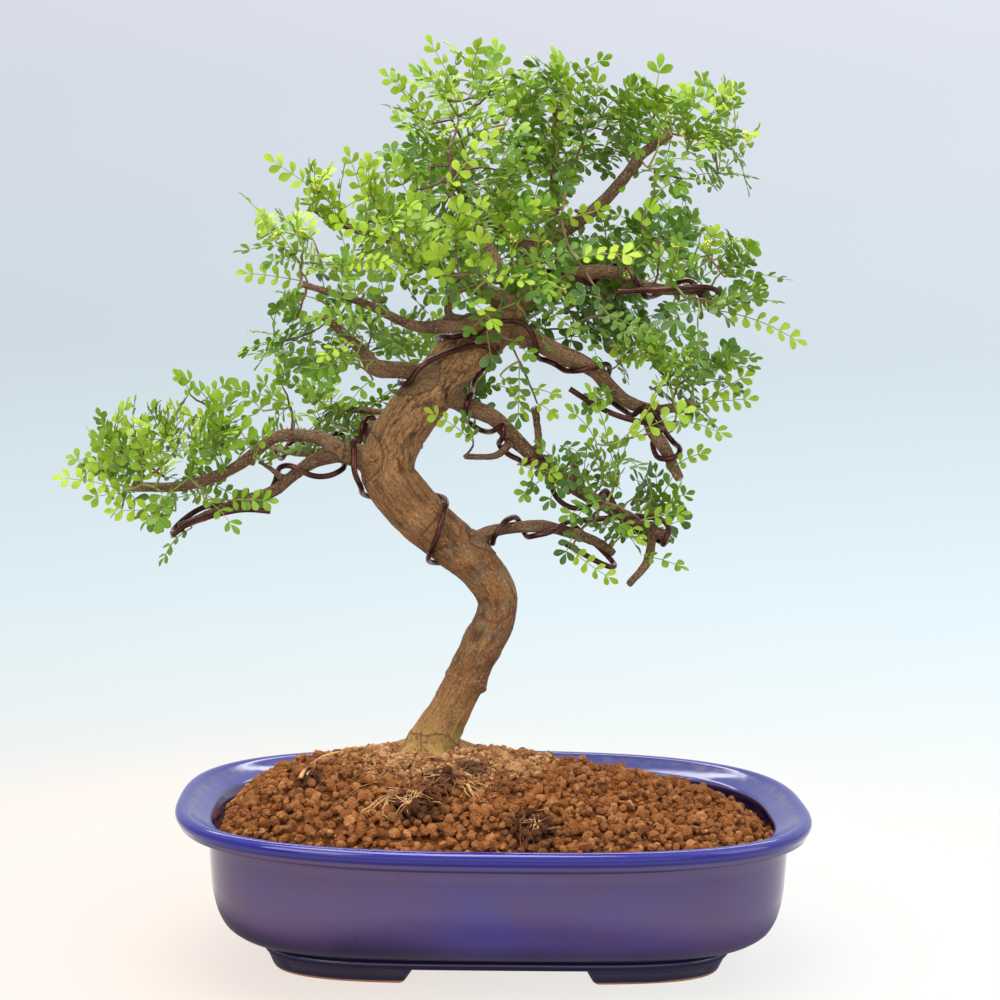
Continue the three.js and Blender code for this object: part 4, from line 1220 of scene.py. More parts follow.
bark, tree, shader = new_finish("tan_bark")
place = value_on(tree, "bark_place", "Vector")
high = axes_of(spot_on(tree))["Z"]
rightward = axes_of(spot_on(tree, "Normal"))["X"]
girth_here = value_on(tree, "girth")
marks = add_wear(place, 0.07, 1.1, 0.6)
streaks = add_wear(place, 0.13, 0.6, 0.2)


def band(low, full, still_full, gone):
    """A mask that rises with height, holds, and falls again."""
    return product(ranged(high, low, full), ranged(high, gone, still_full))


# The trunk is olive half-way up; below that it is ruddy, and darker on the side that faces
# right, partly its own ruddy bark and partly painted shade on the side away from the light.
# It is golden at its foot and pale in the crown, and its twigs are brown.
tan = layered(
    (0.245, 0.102, 0.031),
    (ranged(marks["Blotches"], 0.36, 0.64), (0.4, 0.182, 0.06)),
    (product(band(0.135, 0.155, 0.2, 0.225), ranged(streaks["Blotches"], 0.47, 0.6, 0.0, 0.75)),
     (0.24, 0.165, 0.085)),
    # partly painted shade: darker ruddy brown on the side that faces right, low on the trunk
    (product(band(0.118, 0.13, 0.16, 0.18), ranged(rightward, 0.0, 0.6, 0.0, 0.75)),
     (0.21, 0.085, 0.035)),
    (ranged(high, 0.225, 0.27, 0.0, 0.8), (0.6, 0.32, 0.13)),
    (ranged(high, 0.135, 0.1, 0.0, 0.7), (0.62, 0.36, 0.11)),
)
twig_brown = blended(ranged(marks["Blotches"], 0.35, 0.7), (0.12, 0.06, 0.034), (0.3, 0.18, 0.1))
thick = ranged(girth_here, 3.4, 8.5)
speckled = product(marks["Flecks"], ranged(streaks["Blotches"], 0.42, 0.6, 0.0, 0.7))
# Pale breathing pores dot the young bark.
pores = product(marks["Flecks"], ranged(girth_here, 6.5, 3.5, 0.1, 0.8))
# The old bark of the upper trunk has dried into small plates.
stretched = vector_maths("MULTIPLY", place, {1: (1, 1, 0.4)})
plates = add_node(
    tree, "ShaderNodeTexVoronoi", {"Vector": stretched, "Scale": 0.36}, feature="DISTANCE_TO_EDGE")
seams = product(
    ranged(plates.outputs["Distance"], 0.06, 0.01), ranged(high, 0.205, 0.245, 0.0, 0.6), thick)
# Painted shade: the bark is darker where its relief sinks into cracks.
crack_shade = product(
    ranged(value_on(tree, "raised"), -0.15, -0.75), ranged(high, 0.108, 0.12, 0.1, 0.85))
mossy = product(
    ranged(high, 0.118, 0.096), ranged(rightward, -0.5, 0.4, 0.1, 1.0),
    ranged(marks["Grain"], 0.47, 0.56, 0.0, 0.9))
colour = layered(
    twig_brown,
    (thick, tan),
    (ranged(streaks["Grain"], 0.48, 0.36, 0.0, 0.75), (0.13, 0.055, 0.022)),
    (ranged(marks["Grain"], 0.55, 0.66, 0.0, 0.6), (0.6, 0.37, 0.165)),
    (ranged(marks["Grain"], 0.45, 0.35, 0.0, 0.7), (0.1, 0.044, 0.018)),
    (speckled, (0.66, 0.45, 0.24)),
    (pores, (0.6, 0.45, 0.28)),
    (product(seams, 0.8), (0.12, 0.055, 0.025)),
    (crack_shade, (0.1, 0.045, 0.022)),
    (ranged(value_on(tree, "scar"), 0.3, 0.8, 0.0, 0.85), (0.2, 0.05, 0.024)),
    (value_on(tree, "cut_end"), (0.6, 0.44, 0.26)),
    (mossy, (0.12, 0.19, 0.015)),
)
relief = maths("ADD", marks["Grain"], product(streaks["Grain"], 1.8))
relief = maths("SUBTRACT", relief, product(seams, 0.5))
feed(shader, {
    "Base Color": colour,
    "Roughness": ranged(marks["Grain"], 0.3, 0.7, 0.85, 0.66),
    "Specular IOR Level": 0.3,
    "Normal": bumped(relief, 1.0, 0.0014),
})
wood.data.materials.append(bark)
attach(wood, "root")
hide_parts("trunk_and_branches")

# Training wires: soft brown anodised aluminium, wound in open turns on the bark and
# left with a straight tail. Each route is a row of points from end to end.
WIRE_ROUTES = {
    "wire_low_limbs": [
        (-111, -11, 219), (-123, -13, 220), (-137, -12, 217), (-149, -9, 213), (-157, -4, 209),
        (-154, 1, 213), (-143, -1, 220), (-132, -3, 221), (-120, -4, 221), (-113, -3, 226),
        (-109, -4, 233), (-107, -10, 240), (-101, -15, 242), (-92, -16, 237), (-82, -15, 237),
        (-75, -8, 242), (-73, -5, 250), (-71, -14, 247), (-71, -17, 240), (-68, -14, 233),
        (-64, -2, 228), (-56, 8, 225), (-43, 10, 227), (-33, 6, 227), (-27, -6, 224),
        (-28, -17, 218), (-30, -18, 210), (-33, -13, 202), (-33, -3, 196), (-26, 8, 193),
        (-16, 12, 196), (-8, 8, 201), (-4, -1, 206), (0, -4, 211), (2, -1, 215),
        (7, 5, 216), (12, 10, 212), (15, 5, 208), (22, 0, 209), (28, 2, 211),
        (34, 7, 214), (39, 13, 211), (45, 15, 206), (51, 14, 201), (57, 14, 195),
        (59, 9, 192), (54, 5, 193), (46, 4, 197), (33, 4, 204),
    ],
    "wire_back_limb": [
        (-38, 18, 250), (-46, 18, 251), (-54, 21, 253), (-60, 24, 256), (-64, 21, 262),
        (-67, 16, 259), (-69, 17, 252), (-72, 24, 247), (-74, 34, 245), (-75, 41, 248),
        (-79, 43, 254), (-85, 40, 254), (-87, 38, 247), (-88, 43, 240), (-93, 54, 238),
        (-97, 61, 243), (-102, 62, 249), (-107, 57, 248), (-109, 57, 241), (-112, 66, 239),
        (-115, 74, 243), (-120, 77, 249),
    ],
    "wire_cross": [
        (-48, 6, 280), (-45, -8, 285), (-41, -12, 289), (-36, -13, 293), (-27, -11, 297),
        (-18, -9, 300), (-9, -3, 301), (-5, 8, 297), (-8, 18, 290), (-14, 18, 282),
        (-14, 11, 278), (-18, 2, 273), (-18, 4, 268), (-15, 12, 262), (-8, 10, 258),
        (-2, 2, 260), (2, -1, 264), (1, -4, 259), (1, 1, 253), (4, 8, 247),
        (11, 8, 245), (17, 2, 247), (23, -2, 247), (26, -4, 242), (25, -1, 235),
        (27, 3, 228), (34, 5, 222), (42, 2, 222), (49, 4, 227), (52, 0, 232),
        (54, -8, 227), (58, -9, 221), (64, -5, 214), (72, -3, 210), (79, -6, 207),
        (83, -12, 212), (80, -14, 218), (72, -15, 220), (53, -15, 219), (34, -15, 217),
    ],
    "wire_right": [
        (-30, 16, 297), (-27, 10, 298), (-24, -1, 302), (-19, -6, 307), (-12, -8, 310),
        (-4, -8, 312), (4, -6, 313), (11, -3, 311), (15, -2, 305), (18, 5, 298),
        (24, 10, 293), (30, 5, 291), (36, -3, 289), (43, -5, 291), (49, 0, 290),
        (51, 6, 283), (52, 5, 277), (57, 0, 272), (64, -6, 270), (69, -14, 274),
        (73, -15, 271), (77, -13, 264), (75, -7, 260), (73, -7, 255), (76, -12, 250),
        (80, -19, 248), (85, -20, 250), (86, -14, 254), (84, -7, 255), (80, -6, 260),
        (73, -17, 265), (65, -17, 266), (54, -15, 269), (45, -14, 273), (32, -14, 281),
    ],
    "wire_mid_right": [
        (-2, 16, 318), (5, 20, 321), (13, 18, 327), (21, 14, 333), (25, 4, 336),
        (30, -1, 337), (37, -1, 333), (42, 6, 332), (48, 11, 337), (54, 7, 341),
        (59, -1, 340), (63, -7, 334), (67, -6, 328), (72, 2, 326), (79, 6, 329),
        (84, 0, 333), (89, -8, 334), (94, -12, 328), (99, -6, 324), (104, -10, 328),
        (97, -17, 331), (83, -17, 330), (69, -16, 329), (54, -15, 328),
    ],
}
WIRE_RADIUS = 1.4
OFF_THE_PITH = 0.62
ROUTE_STEP = 1.6
WIRE_STEP = 1.3
WIRE_SIDES = 10
LIFTS = 9
PUSHES_PER_LIFT = 4

pith_centres = np.array([entry[0] for entry in pith])
pith_radii = np.array([entry[1] for entry in pith])

wire_metal, tree, shader, marks = worn_finish("brown_anodised", 110.0, 1400.0)
colour = layered(
    (0.045, 0.014, 0.012),
    (ranged(marks["Blotches"], 0.35, 0.65), (0.13, 0.045, 0.036)),
    (ranged(marks["Grain"], 0.64, 0.8, 0.0, 0.35), (0.36, 0.2, 0.16)),
)
feed(shader, {
    "Base Color": colour,
    "Metallic": 0.8,
    "Roughness": ranged(marks["Grain"], 0.3, 0.7, 0.2, 0.36),
    "Normal": bumped(marks["Grain"], 0.2, 0.0003),
})
for name, rows in WIRE_ROUTES.items():
    route = smooth_path(rows, ROUTE_STEP)
    for lift in range(LIFTS):
        for _ in range(PUSHES_PER_LIFT):
            apart = route[:, None, :] - pith_centres[None, :, :]
            gaps = np.linalg.norm(apart, axis=2)
            lack = pith_radii[None, :] + WIRE_RADIUS + OFF_THE_PITH - gaps
            worst = lack.argmax(axis=1)
            pick = np.arange(len(route))
            push = np.maximum(0, lack[pick, worst])[:, None]
            route = route + apart[pick, worst] / (gaps[pick, worst][:, None] + 1e-9) * push
        if lift < LIFTS - 1:
            route[1:-1] = (route[:-2] + route[2:] + 2 * route[1:-1]) / 4
    route = smooth_path(route, WIRE_STEP)
    thickness = np.full(len(route), WIRE_RADIUS)
    wire = mesh_object(name + "_turns", *tube(route, thickness, WIRE_SIDES))
    wire.data.set_sharp_from_angle(angle=math.radians(60))
    wire.data.materials.append(wire_metal)
    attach(wire, "root")
    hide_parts(name)

# Foliage: each leaf is a green midrib with opposite pairs of small oval leaflets and
# one at its tip, and springs with a few others from a bud on a thin twig.
# The leaves that show against the sky are listed one by one, in runs of one pad: foot, tip,
# age from 0, new and yellow-green, to 1, old and dark, and the length of a leaflet.
LONE_LEAVES = [
    ("top_left", [
        ((-24, -14, 409), (-39, -20, 446), 0.15, 7.6), ((-33, -16, 403), (-61, -24, 429), 0.2, 7.2),
        ((-5, 0, 427), (-28, -6, 441), 0.22, 6.6), ((-29, -20, 401), (-54, -34, 402), 0.35, 6),
        ((-24, -22, 393), (-50, -28, 394), 0.72, 7), ((-29, -58, 372), (-7, -62, 399), 0.1, 7.4),
        ((-42, -34, 373), (-55, -40, 389), 0.2, 7.4), ((-30, -30, 379), (-42, -38, 382), 0.55, 6.6),
        ((-19, -30, 399), (2, -36, 415), 0.3, 7.4), ((-2, -20, 405), (14, -26, 429), 0.35, 8),
        ((-15, -36, 387), (4, -44, 391), 0.6, 7),
    ]),
    ("left_crown", [
        ((-65, -30, 358), (-76, -36, 392), 0.2, 7.4), ((-75, -30, 359), (-113, -40, 387), 0.15, 7.8),
        ((-97, -34, 338), (-124, -40, 370), 0.2, 7.6), ((-93, -36, 329), (-125, -44, 333), 0.15, 6.8),
        ((-79, -34, 315), (-107, -44, 325), 0.38, 7), ((-77, -50, 319), (-75, -54, 345), 0.42, 9),
        ((-57, -52, 323), (-60, -58, 343), 0.3, 8.4), ((-55, -44, 314), (-93, -56, 312), 0.35, 6),
        ((-53, -44, 356), (-63, -48, 376), 0.15, 8.4), ((-43, -50, 351), (-46, -56, 371), 0.12, 8.6),
        ((-57, -44, 344), (-82, -56, 359), 0.1, 7.6), ((-38, -52, 339), (-63, -62, 352), 0.08, 7.4),
    ]),
    ("left_upper", [
        ((-67, -38, 303), (-84, -46, 306), 0.6, 7), ((-69, -38, 297), (-92, -48, 286), 0.45, 7),
        ((-77, -40, 288), (-95, -50, 278), 0.5, 7),
    ]),
    ("front", [
        ((-15, -70, 336), (-14, -74, 355), 0.03, 9), ((-29, -68, 333), (-35, -72, 347), 0.08, 9),
        ((-2, -64, 327), (2, -70, 349), 0.15, 8), ((-18, -62, 322), (-4, -72, 309), 0.2, 7.6),
        ((-25, -62, 349), (-23, -66, 369), 0.12, 8.6),
    ]),
    ("top", [
        ((27, 10, 426), (22, 4, 445), 0.12, 9), ((20, -6, 425), (8, -12, 439), 0.95, 9),
        ((13, -10, 423), (0, -16, 430), 0.9, 8.4), ((40, 0, 414), (43, -6, 435), 0.14, 8.6),
        ((36, -6, 398), (36, -22, 417), 1, 8), ((29, -8, 382), (24, -24, 398), 0.95, 8),
        ((31, -18, 408), (16, -24, 417), 0.2, 8), ((49, -4, 411), (59, -8, 431), 0.18, 8),
    ]),
    ("top_right", [
        ((70, -4, 412), (72, -10, 441), 0.3, 9.4), ((93, -2, 404), (107, -8, 429), 0.02, 8),
        ((86, 4, 412), (99, 2, 427), 0.38, 8), ((87, -6, 397), (120, -12, 405), 0.1, 7.8),
        ((67, -14, 387), (97, -20, 391), 0.42, 8), ((71, -10, 386), (86, -18, 376), 0.46, 8),
        ((71, -6, 375), (80, -10, 362), 0.6, 7.4), ((25, -40, 361), (46, -50, 366), 0.1, 7),
    ]),
    ("mid_right", [
        ((31, -46, 342), (60, -56, 345), 0.05, 8.2), ((102, -18, 320), (144, -24, 305), 0.15, 7.4),
        ((101, -18, 323), (123, -26, 332), 0.05, 7.8), ((80, -46, 324), (76, -52, 308), 0.92, 9.4),
        ((90, -36, 312), (91, -42, 285), 0.75, 6.6), ((64, -14, 360), (70, -18, 372), 0.25, 8.6),
        ((79, -20, 346), (86, -26, 360), 0.9, 8.6), ((43, -50, 324), (29, -56, 327), 1, 8),
    ]),
    ("right", [
        ((94, -20, 275), (119, -26, 292), 0.1, 7.4), ((91, -18, 275), (121, -28, 279), 0.3, 6.6),
        ((82, -26, 267), (108, -34, 261), 0.36, 7.4), ((55, -44, 259), (76, -50, 290), 0.02, 9.2),
        ((58, -42, 259), (88, -50, 275), 0.2, 8.4), ((49, -40, 256), (38, -44, 285), 0.26, 8),
        ((44, -36, 256), (29, -42, 275), 0.3, 8), ((84, -22, 246), (99, -26, 254), 0.2, 7),
    ]),
    ("right_lower", [
        ((67, -22, 219), (90, -30, 224), 0.3, 7), ((70, -16, 201), (91, -22, 196), 0.4, 7),
        ((47, -30, 229), (27, -38, 220), 0.6, 7.4), ((28, -26, 243), (15, -34, 257), 0.45, 7.4),
    ]),
    ("left_low", [
        ((-178, -36, 230), (-209, -44, 237), 0.1, 7), ((-173, -32, 229), (-195, -44, 227), 0.25, 7),
        ((-170, -32, 244), (-191, -42, 253), 0.1, 7), ((-136, -30, 246), (-172, -40, 264), 0.15, 6.8),
        ((-137, -20, 268), (-154, -26, 287), 0.35, 8.4), ((-101, -20, 270), (-133, -28, 280), 0.4, 7.4),
        ((-168, -44, 234), (-168, -48, 258), 0.2, 7.6), ((-118, -34, 250), (-135, -42, 278), 0.3, 9.4),
        ((-149, -8, 210), (-165, -10, 192), 0.5, 6.4), ((-159, -42, 230), (-160, -50, 212), 0.52, 8.6),
        ((-140, -34, 226), (-123, -42, 212), 0.5, 7.6), ((-130, -40, 241), (-139, -46, 255), 0.85, 9),
    ]),
    ("right", [
        ((-14, -20, 255), (-37, -26, 271), 0.1, 6.4), ((-14, -18, 256), (-19, -24, 270), 0.7, 6.8),
        ((7, -24, 294), (7, -28, 262), 0.75, 7.2),
    ]),
    ("front", [
        ((-2, -24, 287), (12, -30, 267), 0.08, 6.8), ((-9, -34, 308), (-6, -38, 290), 1.0, 8.2),
        ((3, -30, 304), (14, -36, 295), 0.35, 7.0),
    ]),
    ("right", [
        ((7, -26, 245), (28, -32, 240), 0.15, 6.6), ((16, -24, 274), (26, -28, 268), 0.05, 6.2),
        ((15, -24, 281), (27, -30, 278), 0.2, 6.2), ((14, -22, 236), (9, -26, 228), 0.4, 6.4),
    ]),
    ("left_upper", [
        ((-75, -34, 295), (-93, -42, 287), 0.45, 6.6), ((-62, -30, 284), (-75, -36, 271), 0.4, 6.8),
    ]),
    ("left_low", [
        ((-114, -24, 268), (-127, -30, 281), 0.3, 6.8), ((-128, -30, 250), (-130, -34, 263), 0.9, 7.6),
        ((-148, -26, 275), (-155, -32, 287), 0.3, 6.8), ((-141, -24, 273), (-128, -30, 283), 0.35, 6.6),
        ((-166, -30, 261), (-180, -36, 258), 0.15, 6.8), ((-180, -34, 247), (-195, -40, 241), 0.12, 6.4),
    ]),
    ("front", [
        ((8, -34, 330), (15, -48, 356), 0.3, 6.4), ((12, -30, 326), (32, -44, 338), 0.55, 6.2),
        ((4, -36, 322), (22, -52, 326), 0.2, 6.2), ((16, -28, 342), (26, -42, 364), 0.7, 6.4),
        ((2, -40, 344), (8, -54, 370), 0.45, 6.4), ((-4, -40, 318), (-20, -54, 306), 0.6, 6.2),
        ((20, -26, 332), (40, -38, 352), 0.85, 6.6), ((-12, -44, 330), (-34, -58, 322), 0.5, 6.4),
        ((10, -32, 314), (20, -46, 300), 0.8, 6.4), ((-2, -34, 360), (14, -48, 382), 0.6, 6.4),
        ((18, -28, 318), (34, -42, 308), 0.4, 6.2),
    ]),
    ("mid_right", [
        ((44, -26, 322), (58, -38, 304), 0.7, 6.4), ((50, -22, 316), (72, -34, 306), 0.55, 6.2),
    ]),
    ("right", [
        ((34, -18, 312), (46, -30, 292), 0.5, 6.2),
    ]),
    ("top", [
        ((20, -10, 352), (12, -24, 366), 0.5, 7.0), ((24, -10, 370), (30, -24, 384), 0.35, 7.2),
        ((20, -12, 390), (31, -24, 374), 0.8, 7.0), ((24, -10, 398), (12, -22, 402), 0.6, 7.0),
    ]),
    ("right", [
        ((24, -22, 246), (12, -28, 231), 0.8, 6.8), ((30, -22, 240), (20, -30, 224), 0.95, 7.0),
        ((34, -20, 250), (30, -28, 232), 0.85, 7.0), ((38, -22, 240), (46, -30, 226), 0.9, 6.8),
        ((28, -20, 254), (40, -28, 250), 0.75, 6.6),
    ]),
    ("right_lower", [
        ((44, -18, 232), (34, -26, 216), 0.8, 6.6), ((50, -20, 226), (60, -28, 212), 0.6, 6.6),
        ((58, -20, 218), (70, -28, 208), 0.2, 6.6), ((34, -20, 204), (56, -28, 189), 0.1, 6.6),
    ]),
]
# The rest fill each pad, from buds spread through it: centre, half sizes, number of
# buds, the middle age of its leaves and how much that varies.
PADS = {
    "left_low": ((-150, -24, 242), (60, 38, 33), 26, 0.46, 0.3),
    "left_back": ((-92, 50, 262), (46, 40, 27), 12, 0.55, 0.3),
    "left_upper": ((-80, -26, 303), (44, 40, 25), 13, 0.55, 0.3),
    "left_crown": ((-70, -30, 346), (58, 48, 40), 21, 0.29, 0.28),
    "top_left": ((-22, -14, 402), (42, 46, 45), 19, 0.4, 0.3),
    "top": ((32, 18, 408), (44, 50, 38), 24, 0.52, 0.34),
    "top_right": ((86, 0, 398), (38, 46, 38), 16, 0.44, 0.3),
    "front": ((-4, -42, 344), (44, 32, 30), 17, 0.5, 0.36),
    "back_upper": ((-12, 78, 372), (56, 38, 42), 17, 0.62, 0.28),
    "mid_right": ((84, -12, 334), (54, 40, 27), 18, 0.66, 0.34),
    "back_right": ((72, 68, 342), (52, 38, 36), 15, 0.66, 0.28),
    "right": ((76, -10, 287), (50, 38, 25), 16, 0.5, 0.3),
    "right_lower": ((54, -2, 226), (42, 32, 29), 13, 0.6, 0.3),
    "back_low": ((-34, 78, 292), (50, 34, 28), 12, 0.55, 0.3),
    "core": ((40, 24, 320), (42, 34, 27), 18, 0.82, 0.22),
}
BUD_REACH = 0.7
LEAVES_PER_BUD = (3, 5)
LEAF_LENGTHS = (20, 38)
LEAFLET_LENGTHS = (5.3, 7.2)
LEAF_TRIES = 9
BUD_TRIES = 4000
BUDS_APART = 12.5
BUD_HOLLOW = 0.25
PAD_EDGE = 1.06
TWIG_STEP = 3.0
TWIG_TIP = 0.45
THICKEST_TWIG = 1.3
CROWN_MIDDLE = Vector((5, 10, 330))

# One leaflet of unit length: along, across and how far in from the rim. It has an
# upper and an under side that meet at the rim, and a shallow fold along its vein.
LEAFLET_ROWS = ((0.15, 0.17), (0.42, 0.4), (0.7, 0.5), (0.92, 0.27))
leaflet_place = [(0, 0, 0), (1, 0, 0)]
for along, half in LEAFLET_ROWS:
    leaflet_place += [(along, -half, 0), (along, half, 0), (along, 0, 1), (along, 0, -1)]
leaflet_place = np.array(leaflet_place)
leaflet_faces = []
for side, middle in ((1, 4), (-1, 5)):
    spans = [(0, 0, 0)]
    spans += [(2 + 4 * k, middle + 4 * k, 3 + 4 * k) for k in range(len(LEAFLET_ROWS))]
    spans += [(1, 1, 1)]
    for before, after in zip(spans, spans[1:]):
        for a, b in ((0, 1), (1, 2)):
            corners = [before[a], after[a], after[b], before[b]]
            corners = list(dict.fromkeys(corners))
            if side > 0:
                corners.reverse()
            for k in range(1, len(corners) - 1):
                leaflet_faces.append((corners[0], corners[k], corners[k + 1]))
leaflet_faces = np.array(leaflet_faces)
LEAF_THICKNESS = 0.13
RIB_RADIUS = 0.32
RIB_STEPS = 6
# The last pair of leaflets stands at this share of the midrib.
LAST_PAIR = 0.92


class Sprays:
    """Collects the leaflets and midribs of one pad."""

    def __init__(self):
        self.leaflets = []
        self.ribs = []

    def add_leaf(self, foot, tip, blade_up, age, size, source):
        foot, tip = Vector(foot), Vector(tip)
        axis = tip - foot
        length = axis.length
        axis.normalize()
        up = blade_up - axis * blade_up.dot(axis)
        if up.length < 0.05:
            up = axis.orthogonal()
        up.normalize()
        rib = max(length * 0.6, length - size * 0.85)
        arch = length * source.uniform(0.03, 0.1)
        line = []
        for k in range(RIB_STEPS + 1):
            share = k / RIB_STEPS
            line.append(foot + axis * (rib * share) + up * (arch * math.sin(share * math.pi)))
        self.ribs.append((line, RIB_RADIUS, age))
        across = axis.cross(up)
        tone = source.random()
        bare = source.uniform(0.08, 0.2)
        pairs = max(2, round(rib * (LAST_PAIR - bare) / (size * 0.86)) + 1)
        for k in range(pairs):
            share = bare + (LAST_PAIR - bare) * k / (pairs - 1)
            place = foot + axis * (rib * share) + up * (arch * math.sin(share * math.pi))
            slope = arch * math.pi * math.cos(share * math.pi) / length
            ahead = (axis + up * slope).normalized()
            swell = 0.72 + 0.24 * math.sin(math.pi * (0.15 + 0.5 * share))
            for side in (-1, 1):
                open_angle = math.radians(source.uniform(60, 72) - 16 * share ** 2)
                out = ahead * math.cos(open_angle) + across * side * math.sin(open_angle)
                out = (out + up * source.uniform(-0.1, 0.35)).normalized()
                length_here = size * swell * source.uniform(0.9, 1.08)
                self.add_leaflet(place, out, up, length_here, age, tone, source)
        self.add_leaflet(line[-1], (axis + up * -0.1).normalized(), up, size * 0.92, age, tone, source)

    def add_leaflet(self, place, out, up, size, age, tone, source):
        lean = source.uniform(-0.35, 0.35)
        wide = out.cross(up).normalized()
        face = wide.cross(out).normalized()
        face, wide = (face + wide * lean).normalized(), (wide - face * lean).normalized()
        row = (place, out, wide, face, size, size * source.uniform(0.52, 0.66),
               source.uniform(0.0, 0.2), source.uniform(0.02, 0.2), age, tone)
        self.leaflets.append(row)

    def meshes(self):
        """Points, triangles, and for each point its age, tone and place on the leaflet."""
        rows = self.leaflets
        place, out, wide, face = (np.array([tuple(row[k]) for row in rows])[:, None, :] for k in range(4))
        measures = (np.array([row[k] for row in rows])[:, None] for k in range(4, 10))
        size, width, fold, droop, age, tone = measures
        along, across, middle = leaflet_place.T
        x = size * along
        y = width * across
        rim = size * 0.9 * fold * np.abs(across)
        z = rim - size * droop * along ** 2 + LEAF_THICKNESS * middle[None, :]
        points = place + out * x[..., None] + wide * y[..., None] + face * z[..., None]
        count, each = points.shape[:2]
        faces = leaflet_faces[None] + (np.arange(count) * each)[:, None, None]
        ages = np.broadcast_to(age, (count, each)).ravel()
        tones = np.broadcast_to(tone, (count, each)).ravel()
        spots = np.broadcast_to(leaflet_place[None], (count, each, 3)).reshape(-1, 3)
        pieces = [(points.reshape(-1, 3), faces.reshape(-1, 3))]
        ages, tones, spots = [ages], [tones], [spots]
        for line, radius, rib_age in self.ribs:
            line = np.array([tuple(point) for point in line])
            piece = tube(line, np.linspace(radius, radius * 0.6, len(line)), 4)
            pieces.append(piece)
            ages.append(np.full(len(piece[0]), rib_age * 0.5))
            tones.append(np.full(len(piece[0]), 0.5))
            spots.append(np.tile((0.5, 0.0, 2.0), (len(piece[0]), 1)))
        return (*gathered(pieces), np.concatenate(ages), np.concatenate(tones), np.concatenate(spots))


# Twigs grow from the wood towards each bud, and branch off the nearest wood or twig.
THICKEST_BEARING = 6
twig_anchors = [
    Vector(entry[0]) for entry in pith if entry[1] < THICKEST_BEARING and entry[6] <= len(LIMBS)]
twig_tubes, twig_ages = [], []


def grow_twig(goal, arrive_along, source):
    """Grows a twig to a place from the nearest wood or twig, and lets others start on it."""
    gaps = [(anchor - goal).length for anchor in twig_anchors]
    nearest = int(np.argmin(gaps))
    start = twig_anchors[nearest]
    gap = gaps[nearest]
    if gap < 1.0:
        return
    lift = Vector((source.uniform(-1, 1), source.uniform(-1, 1), source.uniform(-0.2, 1))) * gap * 0.1
    bend = start.lerp(goal, 0.55) + lift - arrive_along * gap * 0.12
    steps = max(3, int(gap / TWIG_STEP))
    line = []
    for k in range(steps + 1):
        t = k / steps
        line.append(start * (1 - t) ** 2 + bend * 2 * t * (1 - t) + goal * t ** 2)
    wobble = [Vector((source.gauss(0, 0.25), source.gauss(0, 0.25), source.gauss(0, 0.25))) for _ in line]
    line = [point + shift * (0 < k < steps) for k, (point, shift) in enumerate(zip(line, wobble))]
    thickness = min(THICKEST_TWIG, 0.5 + gap * 0.012)
    radii = np.linspace(thickness, TWIG_TIP, len(line))
    twig_tubes.append(tube(np.array([tuple(point) for point in line]), radii, 6))
    twig_ages.append(np.full(len(twig_tubes[-1][0]), 0.0 if gap < 14 else 1.0))
    twig_anchors.extend(line[1:])


def outward(place):
    """The way that leaves face at a place in the crown."""
    away = place - CROWN_MIDDLE
    away = Vector((away.x * 0.75, away.y * 1.25, away.z * 0.4))
    return away.normalized() if away.length > 1 else Vector((0, -1, 0))


# From the front the trunk and the main limbs show between the pads, so few leaves hang
# before them. Inside the crown the trunk is hidden.
HIDDEN_LIMBS = (
    "back_left_twig", "back_left_limb", "crown_left_limb", "crown_front_twig", "crown_top_left",
    "crown_leader", "crown_back_limb", "back_right_limb", "back_low_limb",
)
CROWN_HEART = Vector((5, 10, 322))
HEART_REACH = 31
CLEAR_OF_WOOD = 4.4
LONE_LEAF_SCALE = 0.9
HIDES_WOOD_ANYWAY = 0.12
eye = Vector(CAMERA_PLACE)


def as_seen(point):
    """Where a point shows from the front, on the plane through the middle of the pot."""
    share = -eye.y / (point[1] - eye.y)
    return Vector((eye.x + (point[0] - eye.x) * share, 0, eye.z + (point[2] - eye.z) * share))


hidden_numbers = {list(LIMBS).index(name) + 1 for name in HIDDEN_LIMBS}
shown = [entry for entry in pith if entry[6] <= len(LIMBS) and entry[6] not in hidden_numbers]
shown = [entry for entry in shown if (Vector(entry[0]) - CROWN_HEART).length > HEART_REACH]
shown_tree = kdtree.KDTree(len(shown))
for k, entry in enumerate(shown):
    shown_tree.insert(as_seen(entry[0]), k)
shown_tree.balance()
widest = max(entry[1] for entry in shown) + CLEAR_OF_WOOD


def hides_wood(foot, tip):
    """Whether a leaf would hang before a limb that shows from the front."""
    for share in (0.35, 0.6, 0.8, 1.0):
        point = foot.lerp(tip, share)
        for _, number, gap in shown_tree.find_range(as_seen(point), widest):
            centre, radius = shown[number][:2]
            if gap < radius + CLEAR_OF_WOOD and point.y < centre[1]:
                return True
    return False


chance = random.Random(5)
sprays = {name: Sprays() for name in PADS}
lone_leaves = [(pad_name, *leaf) for pad_name, leaves in LONE_LEAVES for leaf in leaves]
for pad_name, foot, tip, age, size in lone_leaves:
    foot, tip = Vector(foot), Vector(tip)
    size *= LONE_LEAF_SCALE
    axis = (tip - foot).normalized()
    grow_twig(foot, axis, chance)
    blade_up = Vector((0.1, -0.75, 0.6)) + Vector([chance.gauss(0, 0.34) for _ in range(3)])
    sprays[pad_name].add_leaf(foot, tip, blade_up, age, size, chance)

